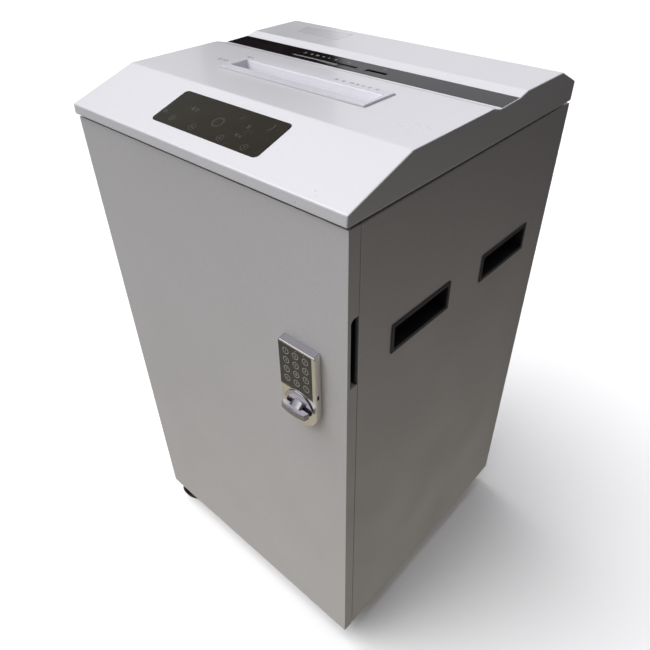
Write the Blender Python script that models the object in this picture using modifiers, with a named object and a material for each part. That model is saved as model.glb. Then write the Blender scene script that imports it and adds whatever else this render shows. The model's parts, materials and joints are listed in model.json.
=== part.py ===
"""Office paper shredder on casters: a steel cabinet with a locking door and a plastic cutting head.

Units are metres, +Z is up and the door faces -Y. Every length inside the model is measured from the
front lip of the head (y = 0), the underside of the cabinet (z = 0) and the middle of the width
(x = 0). The empty "shredder_frame" then sets the whole model on the floor under the world origin.
"""
import math

import bmesh
import bpy
from mathutils import Matrix, Vector

# ---------------------------------------------------------------- driving dimensions
HEAD_WIDTH = 0.4800
CABINET_WIDTH = 0.4774
CABINET_HEIGHT = 0.7796
CABINET_REAR = 0.4720
CASTER_HEIGHT = 0.0480
FIT_GAP = 0.0003                 # clearance between pieces that touch
SHEET = 0.0020                   # cabinet sheet thickness

DOOR_FRONT = 0.0040
DOOR_REAR = 0.0220
DOOR_WALL = 0.0015
DOOR_CORNER_RADIUS = 0.0070      # rear left edge, so that the door turns inside its own thickness
PIVOT_INSET = 0.0090             # door axis behind the door front and in from its left face
PIN_RADIUS = 0.0030
CABINET_FRONT = 0.0233           # front faces of the side panels' flanges
FLANGE_DEPTH = 0.0200

GRIP_NOTCH_Z = (0.5710, 0.6710)  # finger notch in the door's right flange
GRIP_NOTCH_FRONT = 0.0090

SIDE_GRIP_Y = ((0.0830, 0.2075), (0.2850, 0.4095))
SIDE_GRIP_Z = (0.5765, 0.6210)
SIDE_GRIP_DEPTH = 0.0220

HEAD_BOTTOM = 0.7836
HEAD_WALL = 0.0028
SLOPE_BOTTOM = (0.0007, 0.7970)
SLOPE_TOP = (0.0985, 0.8289)
DECK_REAR = 0.2515
STRIP_Y = (0.2722, 0.3128)
STRIP_FLOOR = 0.8230
DISC_SLOT_X = (-0.1126, 0.0113)
DISC_SLOT_Y = (0.2845, 0.2900)
CARD_SLOT_X = (0.0265, 0.0606)
CARD_SLOT_Y = (0.2805, 0.2920)

FEED_X = 0.1190                  # half length of the paper opening
FEED_Y = (0.1765, 0.2060)
BEZEL_X = 0.1267
BEZEL_Y = (0.1612, 0.2208)
BEZEL_TOP = 0.8310

THROAT_X = (-0.1245, 0.1245)      # hole through the deck, the neck frame and the head's base
THROAT_Y = (0.1695, 0.2720)

PANEL_LENGTH = 0.1870            # touch panel along the width
PANEL_HEIGHT = 0.0620            # touch panel along the slope
PANEL_START = 0.0235             # along the slope, from the lip's top edge
PANEL_CORNER = 0.0060
PANEL_THICKNESS = 0.0020
PANEL_PROUD = 0.0004
BOARD_SIZE = (0.1700, 0.0500, 0.0016)
BOARD_DEPTH = 0.0083             # middle of the board below the slope

LOCK_X = 0.1684
LOCK_HALF_WIDTH = 0.0303         # also the radius of its round lower end
LOCK_Z = (0.4782, 0.6060)
LOCK_THICKNESS = 0.0102
LOCK_CORNER = 0.0030
KEYPAD_X = (0.1386, 0.1928)
KEYPAD_Z = (0.5327, 0.6012)
KEYPAD_DEPTH = 0.0020
KNOB_X = 0.1690
KNOB_Z = 0.5090
KNOB_DISC_RADIUS = 0.0250
KNOB_DISC_THICKNESS = 0.0015
KNOB_NECK_RADIUS = 0.0100
KNOB_FRONT = 0.0243              # how far the middle of the knob's bar stands out from the door
BAR_HALF_LENGTH = 0.0195
BAR_HALF_HEIGHT = 0.0047
BAR_DEPTH = 0.0093
BAR_BULGE = 0.0023
BAR_TAPER = 0.0020               # the bar is this much longer at its rear, at each end
CAM_HALF_WIDTH = 0.0090
CAM_LENGTH = 0.0560
CAM_Y = (0.0274, 0.0296)
STRIKE_HALF_HEIGHT = 0.0300
SPINDLE_RADIUS = 0.0040

CUTTER_FRONT_Y = 0.1710
CUTTER_REAR_Y = 0.2110
CUTTER_Z = 0.7150
CUTTER_PLATE_X = (0.1280, 0.1320)
CUTTER_DISC_RADIUS = 0.0215
CUTTER_CORE_RADIUS = 0.0165
CUTTER_PITCH = 0.0200
CUTTER_DISC_WIDTH = 0.0090
CUTTER_DISCS = 12
SHAFT_RADIUS = 0.0060

SYNC_MODULE = 0.0020
SYNC_TEETH = 20
DRIVE_MODULE = 0.0015
DRIVE_TEETH = 60
PINION_TEETH = 20
SYNC_GEAR_X = (0.1360, 0.1430)
DRIVE_GEAR_X = (0.1470, 0.1560)
MOTOR_ANGLE = math.radians(-15)
MOTOR_RADIUS = 0.0340
MOTOR_SHAFT_RADIUS = 0.0050

CASTER_X = 0.1900
CASTER_Y = (0.0400, 0.4300)
WHEEL_RADIUS = 0.0220
WHEEL_HALF_WIDTH = 0.0180
WHEEL_TRAIL = 0.0220
ROCKER_TILT = -8.0              # the rocker rests on one of its two sides, in degrees
# direction of the wheels from the king pin, in degrees from straight ahead (-Y), towards +X
CASTER_SWIVEL = {
    "front_left": -70.0,
    "front_right": -143.0,
    "rear_left": 60.0,
    "rear_right": -80.0,
}

HALF_CABINET = CABINET_WIDTH / 2
HALF_HEAD = HEAD_WIDTH / 2
FRONT_MOST = DOOR_FRONT - KNOB_FRONT
FRAME_ORIGIN = Vector((0.0, -(FRONT_MOST + CABINET_REAR) / 2, CASTER_HEIGHT))

# ---------------------------------------------------------------- scene and collections
for old in list(bpy.data.objects):
    bpy.data.objects.remove(old, do_unlink=True)

MODEL = bpy.data.collections.new("paper_shredder")
CUTTERS = bpy.data.collections.new("paper_shredder_cutters")
bpy.context.scene.collection.children.link(MODEL)
bpy.context.scene.collection.children.link(CUTTERS)


def material(name, colour, roughness, metallic=0.0):
    """A Principled material with one colour."""
    made = bpy.data.materials.new(name)
    made.use_nodes = True
    shader = made.node_tree.nodes["Principled BSDF"]
    shader.inputs["Base Color"].default_value = (*colour, 1.0)
    shader.inputs["Roughness"].default_value = roughness
    shader.inputs["Metallic"].default_value = metallic
    return made


HEAD_SILVER = material("head_silver", (0.66, 0.66, 0.68), 0.45)
CABINET_GREY = material("cabinet_grey", (0.33, 0.33, 0.31), 0.42, 0.5)
BLACK_PLASTIC = material("black_plastic", (0.012, 0.012, 0.013), 0.45)
BLACK_GLASS = material("black_glass", (0.010, 0.011, 0.009), 0.12)
LOCK_METAL = material("lock_metal", (0.55, 0.54, 0.51), 0.28, 1.0)
STEEL = material("steel", (0.50, 0.50, 0.50), 0.35, 1.0)
GEAR_PLASTIC = material("gear_plastic", (0.70, 0.68, 0.60), 0.50)
BIN_PLASTIC = material("bin_plastic", (0.045, 0.045, 0.048), 0.55)
BOARD_GREEN = material("board_green", (0.02, 0.11, 0.05), 0.55)
WHEEL_BLACK = material("wheel_black", (0.015, 0.015, 0.015), 0.60)


# ---------------------------------------------------------------- pivots and placing
PIVOTS = {}


def pivot(name, location, parent=None, turn=0.0):
    """An empty on a joint's axis; turn is its rest rotation about Z."""
    empty = bpy.data.objects.new(name, None)
    MODEL.objects.link(empty)
    empty.empty_display_size = 0.02
    origin = PIVOTS[parent][1] if parent else Vector((0.0, 0.0, 0.0))
    empty.parent = PIVOTS[parent][0] if parent else None
    empty.location = Vector(location) - origin
    empty.rotation_euler = (0.0, 0.0, turn)
    PIVOTS[name] = (empty, Vector(location))
    return empty


def place(obj, location, parent, look):
    """Put an object in the model, with a location in the frame that its unturned parent shares."""
    MODEL.objects.link(obj)
    empty, origin = PIVOTS[parent]
    obj.parent = empty
    obj.location = Vector(location) - origin
    obj.data.materials.clear()
    obj.data.materials.append(look)
    return obj


# ---------------------------------------------------------------- shapes
def block_mesh(name, x, y, z):
    """A box mesh about its own middle, and that middle."""
    size = Vector((x[1] - x[0], y[1] - y[0], z[1] - z[0]))
    mesh = bpy.data.meshes.new(name)
    shape = bmesh.new()
    bmesh.ops.create_cube(shape, size=1.0)
    bmesh.ops.scale(shape, vec=size, verts=shape.verts)
    shape.to_mesh(mesh)
    shape.free()
    middle = Vector((x[0] + x[1], y[0] + y[1], z[0] + z[1])) / 2
    return mesh, middle


def block(name, x, y, z, look, parent="shredder_frame"):
    mesh, middle = block_mesh(name, x, y, z)
    return place(bpy.data.objects.new(name, mesh), middle, parent, look)


def arc(centre, radius, start, end, steps):
    """Points on an arc, angles in degrees."""
    angles = [math.radians(start + (end - start) * i / steps) for i in range(steps + 1)]
    return [(centre[0] + radius * math.cos(a), centre[1] + radius * math.sin(a)) for a in angles]


def circle(centre, radius, steps=16):
    return arc(centre, radius, 0.0, 360.0 * (steps - 1) / steps, steps - 1)


def rounded_rectangle(u, v, radius, steps=3):
    """Outline of a rectangle with rounded corners, anticlockwise."""
    points = []
    corners = ((u[1], v[0], -90), (u[1], v[1], 0), (u[0], v[1], 90), (u[0], v[0], 180))
    for corner_u, corner_v, start in corners:
        centre_u = corner_u - radius if corner_u == u[1] else corner_u + radius
        centre_v = corner_v - radius if corner_v == v[1] else corner_v + radius
        points += arc((centre_u, centre_v), radius, start, start + 90, steps)
    return points


# where a flat outline's own x, y and thickness directions point, for each extrusion axis
OUTLINE_TURN = {
    "X": Matrix(((0, 0, 1, 0), (1, 0, 0, 0), (0, 1, 0, 0), (0, 0, 0, 1))),
    "Y": Matrix(((1, 0, 0, 0), (0, 0, -1, 0), (0, 1, 0, 0), (0, 0, 0, 1))),
    "Z": Matrix.Identity(4),
}


def outline_mesh(name, loops, axis, span):
    """A flat outline with holes, extruded along an axis, as one welded mesh."""
    curve = bpy.data.curves.new(name, "CURVE")
    curve.dimensions = "2D"
    curve.fill_mode = "BOTH"
    curve.extrude = (span[1] - span[0]) / 2
    for loop in loops:
        spline = curve.splines.new("POLY")
        spline.points.add(len(loop) - 1)
        for point, (u, v) in zip(spline.points, loop):
            point.co = (u, v, 0.0, 1.0)
        spline.use_cyclic_u = True
    source = bpy.data.objects.new(name + "_outline", curve)
    CUTTERS.objects.link(source)
    graph = bpy.context.evaluated_depsgraph_get()
    mesh = bpy.data.meshes.new_from_object(source.evaluated_get(graph))
    bpy.data.objects.remove(source, do_unlink=True)
    bpy.data.curves.remove(curve)
    shape = bmesh.new()
    shape.from_mesh(mesh)
    bmesh.ops.remove_doubles(shape, verts=shape.verts, dist=0.00001)
    bmesh.ops.transform(shape, matrix=OUTLINE_TURN[axis], verts=shape.verts)
    middle = (span[0] + span[1]) / 2
    shift = {"X": (middle, 0, 0), "Y": (0, middle, 0), "Z": (0, 0, middle)}[axis]
    bmesh.ops.translate(shape, vec=shift, verts=shape.verts)
    bmesh.ops.recalc_face_normals(shape, faces=shape.faces)
    shape.to_mesh(mesh)
    shape.free()
    mesh.name = name
    return mesh


def plate(name, loops, axis, span, look, parent="shredder_frame"):
    mesh = outline_mesh(name, loops, axis, span)
    return place(bpy.data.objects.new(name, mesh), (0, 0, 0), parent, look)


def turned_mesh(name, profile, steps):
    """A profile of (radius, height) points, top to bottom, turned about Z by a Screw modifier."""
    mesh = bpy.data.meshes.new(name + "_profile")
    shape = bmesh.new()
    corners = [shape.verts.new((radius, 0.0, height)) for radius, height in profile]
    for first, second in zip(corners, corners[1:]):
        shape.edges.new((first, second))
    shape.to_mesh(mesh)
    shape.free()
    source = bpy.data.objects.new(name + "_profile", mesh)
    CUTTERS.objects.link(source)
    screw = source.modifiers.new("turn", "SCREW")
    screw.steps = steps
    screw.render_steps = steps
    screw.use_merge_vertices = True
    screw.merge_threshold = 0.00001
    graph = bpy.context.evaluated_depsgraph_get()
    turned = bpy.data.meshes.new_from_object(source.evaluated_get(graph))
    bpy.data.objects.remove(source, do_unlink=True)
    turned.name = name
    return turned


def along_x(mesh):
    """Turn a mesh made about Z so that its +Z end points along +X."""
    mesh.transform(Matrix.Rotation(math.radians(90), 4, "Y"))
    return mesh


def turned(name, profile, steps, location, look, parent="shredder_frame"):
    """A turned piece whose axis runs along X through its own origin."""
    mesh = along_x(turned_mesh(name, profile, steps))
    mesh.shade_smooth()
    mesh.set_sharp_from_angle(angle=math.radians(35))
    return place(bpy.data.objects.new(name, mesh), location, parent, look)


# ---------------------------------------------------------------- modifiers
def cutter(name, mesh, location=(0, 0, 0), rotation=(0, 0, 0)):
    """A hidden cutting shape, standing in the model's own frame."""
    tool = bpy.data.objects.new("cut_" + name, mesh)
    CUTTERS.objects.link(tool)
    tool.hide_render = True
    tool.display_type = "WIRE"
    tool.parent = PIVOTS["shredder_frame"][0]
    tool.location = location
    tool.rotation_euler = rotation
    return tool


def combine(obj, tool, operation="DIFFERENCE"):
    modifier = obj.modifiers.new(operation.lower() + "_" + tool.name, "BOOLEAN")
    modifier.operation = operation
    modifier.solver = "EXACT"
    modifier.object = tool
    return obj


def cut_block(obj, name, x, y, z):
    mesh, middle = block_mesh("cut_" + name, x, y, z)
    return combine(obj, cutter(name, mesh, middle))


def cut_outline(obj, name, loops, axis, span):
    return combine(obj, cutter(name, outline_mesh("cut_" + name, loops, axis, span)))


def join_block(obj, name, x, y, z):
    mesh, middle = block_mesh("join_" + name, x, y, z)
    return combine(obj, cutter(name, mesh, middle), "UNION")


def join_outline(obj, name, loops, axis, span):
    return combine(obj, cutter(name, outline_mesh("join_" + name, loops, axis, span)), "UNION")


def round_edges(obj, width, segments=2, angle=30.0):
    modifier = obj.modifiers.new("rounded_edges", "BEVEL")
    modifier.width = width
    modifier.segments = segments
    modifier.limit_method = "ANGLE"
    modifier.angle_limit = math.radians(angle)
    return obj


# ---------------------------------------------------------------- cabinet
def side_panel(side, name):
    """A folded side panel: the outer wall, a front flange and a rear flange turned inwards."""
    outer = side * HALF_CABINET
    inner = side * (HALF_CABINET - SHEET)
    flange = side * (HALF_CABINET - FLANGE_DEPTH)
    front = CABINET_FRONT
    rear = CABINET_REAR
    rear_flange = side * (HALF_CABINET - 0.012)
    outline = [
        (outer, front), (outer, rear), (rear_flange, rear), (rear_flange, rear - SHEET),
        (inner, rear - SHEET), (inner, front + SHEET), (flange, front + SHEET), (flange, front),
    ]
    panel = plate(name, [outline], "Z", (0.0, CABINET_HEIGHT), CABINET_GREY)
    for number, (y_front, y_rear) in enumerate(SIDE_GRIP_Y):
        window_x = sorted((side * (HALF_CABINET + 0.01), side * (HALF_CABINET - 0.01)))
        window_y = (y_front + 0.0035, y_rear - 0.0035)
        window_z = (SIDE_GRIP_Z[0] + 0.0035, SIDE_GRIP_Z[1] - 0.0035)
        cut_block(panel, f"{name}_window_{number}", window_x, window_y, window_z)
    return panel


def side_grip(side, y_span, name):
    """A finger pocket: a thin outer rim round a box that is open to the outside."""
    rim = rounded_rectangle(y_span, SIDE_GRIP_Z, 0.0025, 2)
    rim_x = sorted((side * (HALF_CABINET + FIT_GAP), side * (HALF_CABINET + 0.0012)))
    grip = plate(name, [rim], "X", rim_x, BLACK_PLASTIC)
    y = (y_span[0] + 0.0040, y_span[1] - 0.0040)
    z = (SIDE_GRIP_Z[0] + 0.0040, SIDE_GRIP_Z[1] - 0.0040)
    back = HALF_CABINET - SIDE_GRIP_DEPTH
    x = sorted((side * back, side * (HALF_CABINET + 0.0008)))
    join_block(grip, name + "_box", x, y, z)
    wall = 0.0018
    x = sorted((side * (back + wall), side * (HALF_CABINET + 0.01)))
    y = (y[0] + wall, y[1] - wall)
    z = (z[0] + wall, z[1] - wall)
    return cut_block(grip, name + "_hollow", x, y, z)


def cabinet():
    side_panel(-1, "left_side_panel")
    side_panel(1, "right_side_panel")
    for side, side_name in ((-1, "left"), (1, "right")):
        for y_span, end_name in zip(SIDE_GRIP_Y, ("front", "rear")):
            side_grip(side, y_span, f"side_grip_{side_name}_{end_name}")

    inside = HALF_CABINET - SHEET - FIT_GAP
    behind = CABINET_FRONT + SHEET + FIT_GAP
    rear_inside = CABINET_REAR - SHEET - FIT_GAP
    rear = (HALF_CABINET - 0.012 - FIT_GAP)
    vents = [
        rounded_rectangle((x, x + 0.060), (z, z + 0.006), 0.0025, 2)
        for x in (-0.150, -0.070) for z in (0.660, 0.678, 0.696, 0.714)
    ]
    inlet_hole = rounded_rectangle((0.1120, 0.1400), (0.6700, 0.6900), 0.0005, 1)
    switch_hole = rounded_rectangle((0.0700, 0.0840), (0.6685, 0.6915), 0.0003, 1)
    wall = [(-rear, 0.0), (rear, 0.0), (rear, CABINET_HEIGHT), (-rear, CABINET_HEIGHT)]
    plate("rear_panel", [wall, inlet_hole, switch_hole] + vents, "Y",
          (CABINET_REAR - SHEET, CABINET_REAR), CABINET_GREY)

    floor_z = (0.0, 0.0030)
    block("cabinet_floor", (-inside, inside), (behind, rear_inside), floor_z, CABINET_GREY)

    throat = rounded_rectangle(THROAT_X, THROAT_Y, 0.0030, 2)
    deck = [(-inside, behind), (inside, behind), (inside, rear_inside), (-inside, rear_inside)]
    deck_z = (CABINET_HEIGHT - 0.0045, CABINET_HEIGHT)
    plate("mechanism_deck", [deck, throat], "Z", deck_z, CABINET_GREY)
    neck = rounded_rectangle((-0.2080, 0.2080), (0.0300, 0.4500), 0.006, 2)
    plate("neck_frame", [neck, throat], "Z",
          (CABINET_HEIGHT + FIT_GAP, HEAD_BOTTOM - 0.0004), BLACK_PLASTIC)


# ---------------------------------------------------------------- door
DOOR_AXIS = Vector((-HALF_CABINET + PIVOT_INSET, DOOR_FRONT + PIVOT_INSET, 0.0))
DOOR_Z = (0.0, CABINET_HEIGHT)


def door():
    """A pan with flanges, its flat liner and its finger pocket, all on the hinge pivot."""
    radius = DOOR_CORNER_RADIUS
    left = -HALF_CABINET
    corner = arc((left + radius, DOOR_REAR - radius), radius, 90, 180, 4)
    outline = [(left, DOOR_FRONT), (HALF_CABINET, DOOR_FRONT), (HALF_CABINET, DOOR_REAR)] + corner
    pan = plate("door_panel", [outline], "Z", DOOR_Z, CABINET_GREY, "door_axis")
    inner_left = left + 2 * PIVOT_INSET
    inner_right = HALF_CABINET - DOOR_WALL
    inner_z = (DOOR_Z[0] + 0.0040, DOOR_Z[1] - 0.0040)
    cut_block(pan, "door_hollow", (inner_left, inner_right),
              (DOOR_FRONT + DOOR_WALL, DOOR_REAR + 0.01), inner_z)
    notch = [(GRIP_NOTCH_FRONT, GRIP_NOTCH_Z[0]), (DOOR_REAR + 0.01, GRIP_NOTCH_Z[0]),
             (DOOR_REAR + 0.01, GRIP_NOTCH_Z[1])]
    notch += arc((GRIP_NOTCH_FRONT + 0.006, GRIP_NOTCH_Z[1] - 0.006), 0.006, 90, 180, 4)
    cut_outline(pan, "door_notch", [notch], "X", (HALF_CABINET - 0.010, HALF_CABINET + 0.010))
    for end, z in (("top", (DOOR_Z[1] - 0.014, DOOR_Z[1] + 0.01)),
                   ("bottom", (DOOR_Z[0] - 0.01, DOOR_Z[0] + 0.014))):
        hole = circle((DOOR_AXIS.x, DOOR_AXIS.y), PIN_RADIUS + FIT_GAP)
        cut_outline(pan, "door_pin_hole_" + end, [hole], "Z", z)
    spindle_hole = circle((KNOB_X, KNOB_Z), SPINDLE_RADIUS + 2 * FIT_GAP)
    cut_outline(pan, "door_spindle_hole", [spindle_hole], "Y", (0.0, 0.010))

    liner_x = (inner_left + FIT_GAP, inner_right - FIT_GAP - 0.022)
    plate("door_liner", [
        [(liner_x[0], inner_z[0] + FIT_GAP), (liner_x[1], inner_z[0] + FIT_GAP),
         (liner_x[1], inner_z[1] - FIT_GAP), (liner_x[0], inner_z[1] - FIT_GAP)],
        spindle_hole,
    ], "Y", (DOOR_REAR - 0.0020, DOOR_REAR - 0.0005), CABINET_GREY, "door_axis")

    pocket_x = (HALF_CABINET - 0.0235, HALF_CABINET - DOOR_WALL - FIT_GAP)
    pocket_y = (GRIP_NOTCH_FRONT - 0.0020, DOOR_REAR - 0.0008)
    pocket_z = (GRIP_NOTCH_Z[0] - 0.0020, GRIP_NOTCH_Z[1] + 0.0020)
    pocket = block("door_grip_pocket", pocket_x, pocket_y, pocket_z, BLACK_PLASTIC, "door_axis")
    wall = 0.0018
    cut_block(pocket, "door_pocket_hollow", (pocket_x[0] + wall, pocket_x[1] + 0.01),
              (pocket_y[0] + wall, pocket_y[1] - wall), (pocket_z[0] + wall, pocket_z[1] - wall))


def hinge_plate(name, plate_z, pin_z, look):
    """A flat pivot plate fixed to the cabinet, with the pin that the door turns on."""
    tab_x = (DOOR_AXIS.x - 0.0055, DOOR_AXIS.x + 0.0075)
    tab = rounded_rectangle(tab_x, (0.0075, 0.0600), 0.003, 2)
    hinge = plate(name, [tab], "Z", plate_z, look)
    pin = circle((DOOR_AXIS.x, DOOR_AXIS.y), PIN_RADIUS, 12)
    return join_outline(hinge, name + "_pin", [pin], "Z", pin_z)


# ---------------------------------------------------------------- lock
def lock():
    """Housing and key panel on the door front, and the knob that turns the cam behind the door."""
    front = DOOR_FRONT - FIT_GAP
    face = DOOR_FRONT - LOCK_THICKNESS
    left = LOCK_X - LOCK_HALF_WIDTH
    right = LOCK_X + LOCK_HALF_WIDTH
    outline = arc((LOCK_X, LOCK_Z[0] + LOCK_HALF_WIDTH), LOCK_HALF_WIDTH, 180, 360, 12)
    outline += arc((right - LOCK_CORNER, LOCK_Z[1] - LOCK_CORNER), LOCK_CORNER, 0, 90, 3)
    outline += arc((left + LOCK_CORNER, LOCK_Z[1] - LOCK_CORNER), LOCK_CORNER, 90, 180, 3)
    housing = plate("lock_housing", [outline], "Y", (face, front), LOCK_METAL, "door_axis")
    cut_block(housing, "lock_keypad_seat", (left - 0.01, KEYPAD_X[1] + FIT_GAP),
              (face - 0.01, face + KEYPAD_DEPTH), (KEYPAD_Z[0] - FIT_GAP, KEYPAD_Z[1] + FIT_GAP))
    bore = circle((KNOB_X, KNOB_Z), SPINDLE_RADIUS + FIT_GAP)
    cut_outline(housing, "lock_bore", [bore], "Y", (face - 0.01, front + 0.01))
    plate("lock_keypad", [rounded_rectangle(KEYPAD_X, KEYPAD_Z, 0.0010, 1)], "Y",
          (face, face + KEYPAD_DEPTH - FIT_GAP), BLACK_GLASS, "door_axis")

    disc_y = (face - FIT_GAP - KNOB_DISC_THICKNESS, face - FIT_GAP)
    knob = plate("lock_knob", [circle((KNOB_X, KNOB_Z), KNOB_DISC_RADIUS, 28)], "Y", disc_y,
                 LOCK_METAL, "knob_axis")
    bar_front = DOOR_FRONT - KNOB_FRONT
    bar_rear = bar_front + BAR_DEPTH
    neck = circle((KNOB_X, KNOB_Z), KNOB_NECK_RADIUS, 20)
    join_outline(knob, "knob_neck", [neck], "Y", (bar_rear - 0.0020, disc_y[0] + 0.0010))
    radius = (BAR_HALF_LENGTH ** 2 + BAR_BULGE ** 2) / (2 * BAR_BULGE)
    half_angle = math.degrees(math.asin(BAR_HALF_LENGTH / radius))
    bar = arc((KNOB_X, bar_front + radius), radius, 270 - half_angle, 270 + half_angle, 8)
    rear_length = BAR_HALF_LENGTH + BAR_TAPER
    bar += [(KNOB_X + rear_length, bar_rear), (KNOB_X - rear_length, bar_rear)]
    join_outline(knob, "knob_bar", [bar], "Z",
                 (KNOB_Z - BAR_HALF_HEIGHT, KNOB_Z + BAR_HALF_HEIGHT))

    plate("lock_spindle", [circle((KNOB_X, KNOB_Z), SPINDLE_RADIUS)], "Y",
          (face + 0.0001, CAM_Y[1] + 0.0010), STEEL, "knob_axis")
    cam_loop = arc((KNOB_X, KNOB_Z), CAM_HALF_WIDTH, 0, 180, 8)
    cam_loop += [(KNOB_X - CAM_HALF_WIDTH, KNOB_Z - CAM_LENGTH),
                 (KNOB_X + CAM_HALF_WIDTH, KNOB_Z - CAM_LENGTH)]
    plate("lock_cam", [cam_loop, circle((KNOB_X, KNOB_Z), SPINDLE_RADIUS + FIT_GAP)], "Y",
          CAM_Y, STEEL, "knob_axis")

    flange_inner = HALF_CABINET - FLANGE_DEPTH
    block("lock_strike", (flange_inner - 0.002, flange_inner + 0.016),
          (CABINET_FRONT + SHEET + FIT_GAP, CABINET_FRONT + SHEET + 0.0015),
          (KNOB_Z - STRIKE_HALF_HEIGHT, KNOB_Z + STRIKE_HALF_HEIGHT), STEEL)


# ---------------------------------------------------------------- head
def slope_point(along, above):
    """A point on the front slope: along it from the lip's top edge, and above it."""
    run = SLOPE_TOP[0] - SLOPE_BOTTOM[0]
    rise = SLOPE_TOP[1] - SLOPE_BOTTOM[1]
    length = math.hypot(run, rise)
    y = SLOPE_BOTTOM[0] + (run * along - rise * above) / length
    z = SLOPE_BOTTOM[1] + (rise * along + run * above) / length
    return y, z


SLOPE_ANGLE = math.atan2(SLOPE_TOP[1] - SLOPE_BOTTOM[1], SLOPE_TOP[0] - SLOPE_BOTTOM[0])


def head_cover():
    """The plastic top shell: lip, slope, flat deck, channel, rear deck and rear chamfer."""
    profile = [
        (0.0, HEAD_BOTTOM), SLOPE_BOTTOM, SLOPE_TOP, (DECK_REAR, 0.8289), (0.2674, 0.8242),
        (0.3134, 0.8257), (0.3314, 0.8300), (0.4254, 0.8300), (0.4703, 0.8097),
        (0.4704, HEAD_BOTTOM),
    ]
    cover = plate("head_cover", [profile[::-1]], "X", (-HALF_HEAD, HALF_HEAD), HEAD_SILVER)
    round_edges(cover, 0.0016, 2, 15.0)
    wall = HEAD_WALL
    hollow = [
        (wall, HEAD_BOTTOM - 0.01), (wall + 0.0005, 0.7950), (0.0990, 0.8289 - wall),
        (DECK_REAR - 0.0006, 0.8289 - wall), (0.2668, 0.8204), (0.3140, 0.8204),
        (0.3320, 0.8300 - wall), (0.4248, 0.8300 - wall), (0.4676, 0.8075),
        (0.4676, HEAD_BOTTOM - 0.01),
    ]
    half = HALF_HEAD - wall
    cut_outline(cover, "head_hollow", [hollow[::-1]], "X", (-half, half))
    cut_block(cover, "strip_seat", (-HALF_HEAD + 0.0012, HALF_HEAD - 0.0012),
              (STRIP_Y[0] - FIT_GAP, STRIP_Y[1] + FIT_GAP), (STRIP_FLOOR, 0.84))
    cut_block(cover, "feed_hole", (-FEED_X - 0.0028, FEED_X + 0.0028),
              (FEED_Y[0] - 0.0028, FEED_Y[1] + 0.0028), (0.80, 0.85))
    cut_block(cover, "disc_slot_under", DISC_SLOT_X, DISC_SLOT_Y, (0.81, 0.84))
    cut_block(cover, "card_slot_under", CARD_SLOT_X, CARD_SLOT_Y, (0.81, 0.84))
    seat = rounded_rectangle((-PANEL_LENGTH / 2 - FIT_GAP, PANEL_LENGTH / 2 + FIT_GAP),
                             (-PANEL_HEIGHT / 2 - FIT_GAP, PANEL_HEIGHT / 2 + FIT_GAP),
                             PANEL_CORNER + FIT_GAP, 3)
    seat_mesh = outline_mesh("cut_panel_seat", [seat], "Z", (-PANEL_THICKNESS, 0.01))
    y, z = slope_point(PANEL_START + PANEL_HEIGHT / 2, PANEL_PROUD - FIT_GAP)
    combine(cover, cutter("panel_seat", seat_mesh, (0, y, z), (SLOPE_ANGLE, 0, 0)))
    return cover


def touch_panel():
    outline = rounded_rectangle((-PANEL_LENGTH / 2, PANEL_LENGTH / 2),
                                (-PANEL_HEIGHT / 2, PANEL_HEIGHT / 2), PANEL_CORNER, 3)
    mesh = outline_mesh("touch_panel", [outline], "Z", (-PANEL_THICKNESS, 0.0))
    y, z = slope_point(PANEL_START + PANEL_HEIGHT / 2, PANEL_PROUD)
    glass = place(bpy.data.objects.new("touch_panel", mesh), (0, y, z), "shredder_frame",
                  BLACK_GLASS)
    glass.rotation_euler = (SLOPE_ANGLE, 0, 0)

    half_x, half_y, half_z = (size / 2 for size in BOARD_SIZE)
    mesh = block_mesh("control_board", (-half_x, half_x), (-half_y, half_y), (-half_z, half_z))[0]
    y, z = slope_point(PANEL_START + PANEL_HEIGHT / 2, -BOARD_DEPTH)
    board = place(bpy.data.objects.new("control_board", mesh), (0, y, z), "shredder_frame",
                  BOARD_GREEN)
    board.rotation_euler = (SLOPE_ANGLE, 0, 0)


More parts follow.
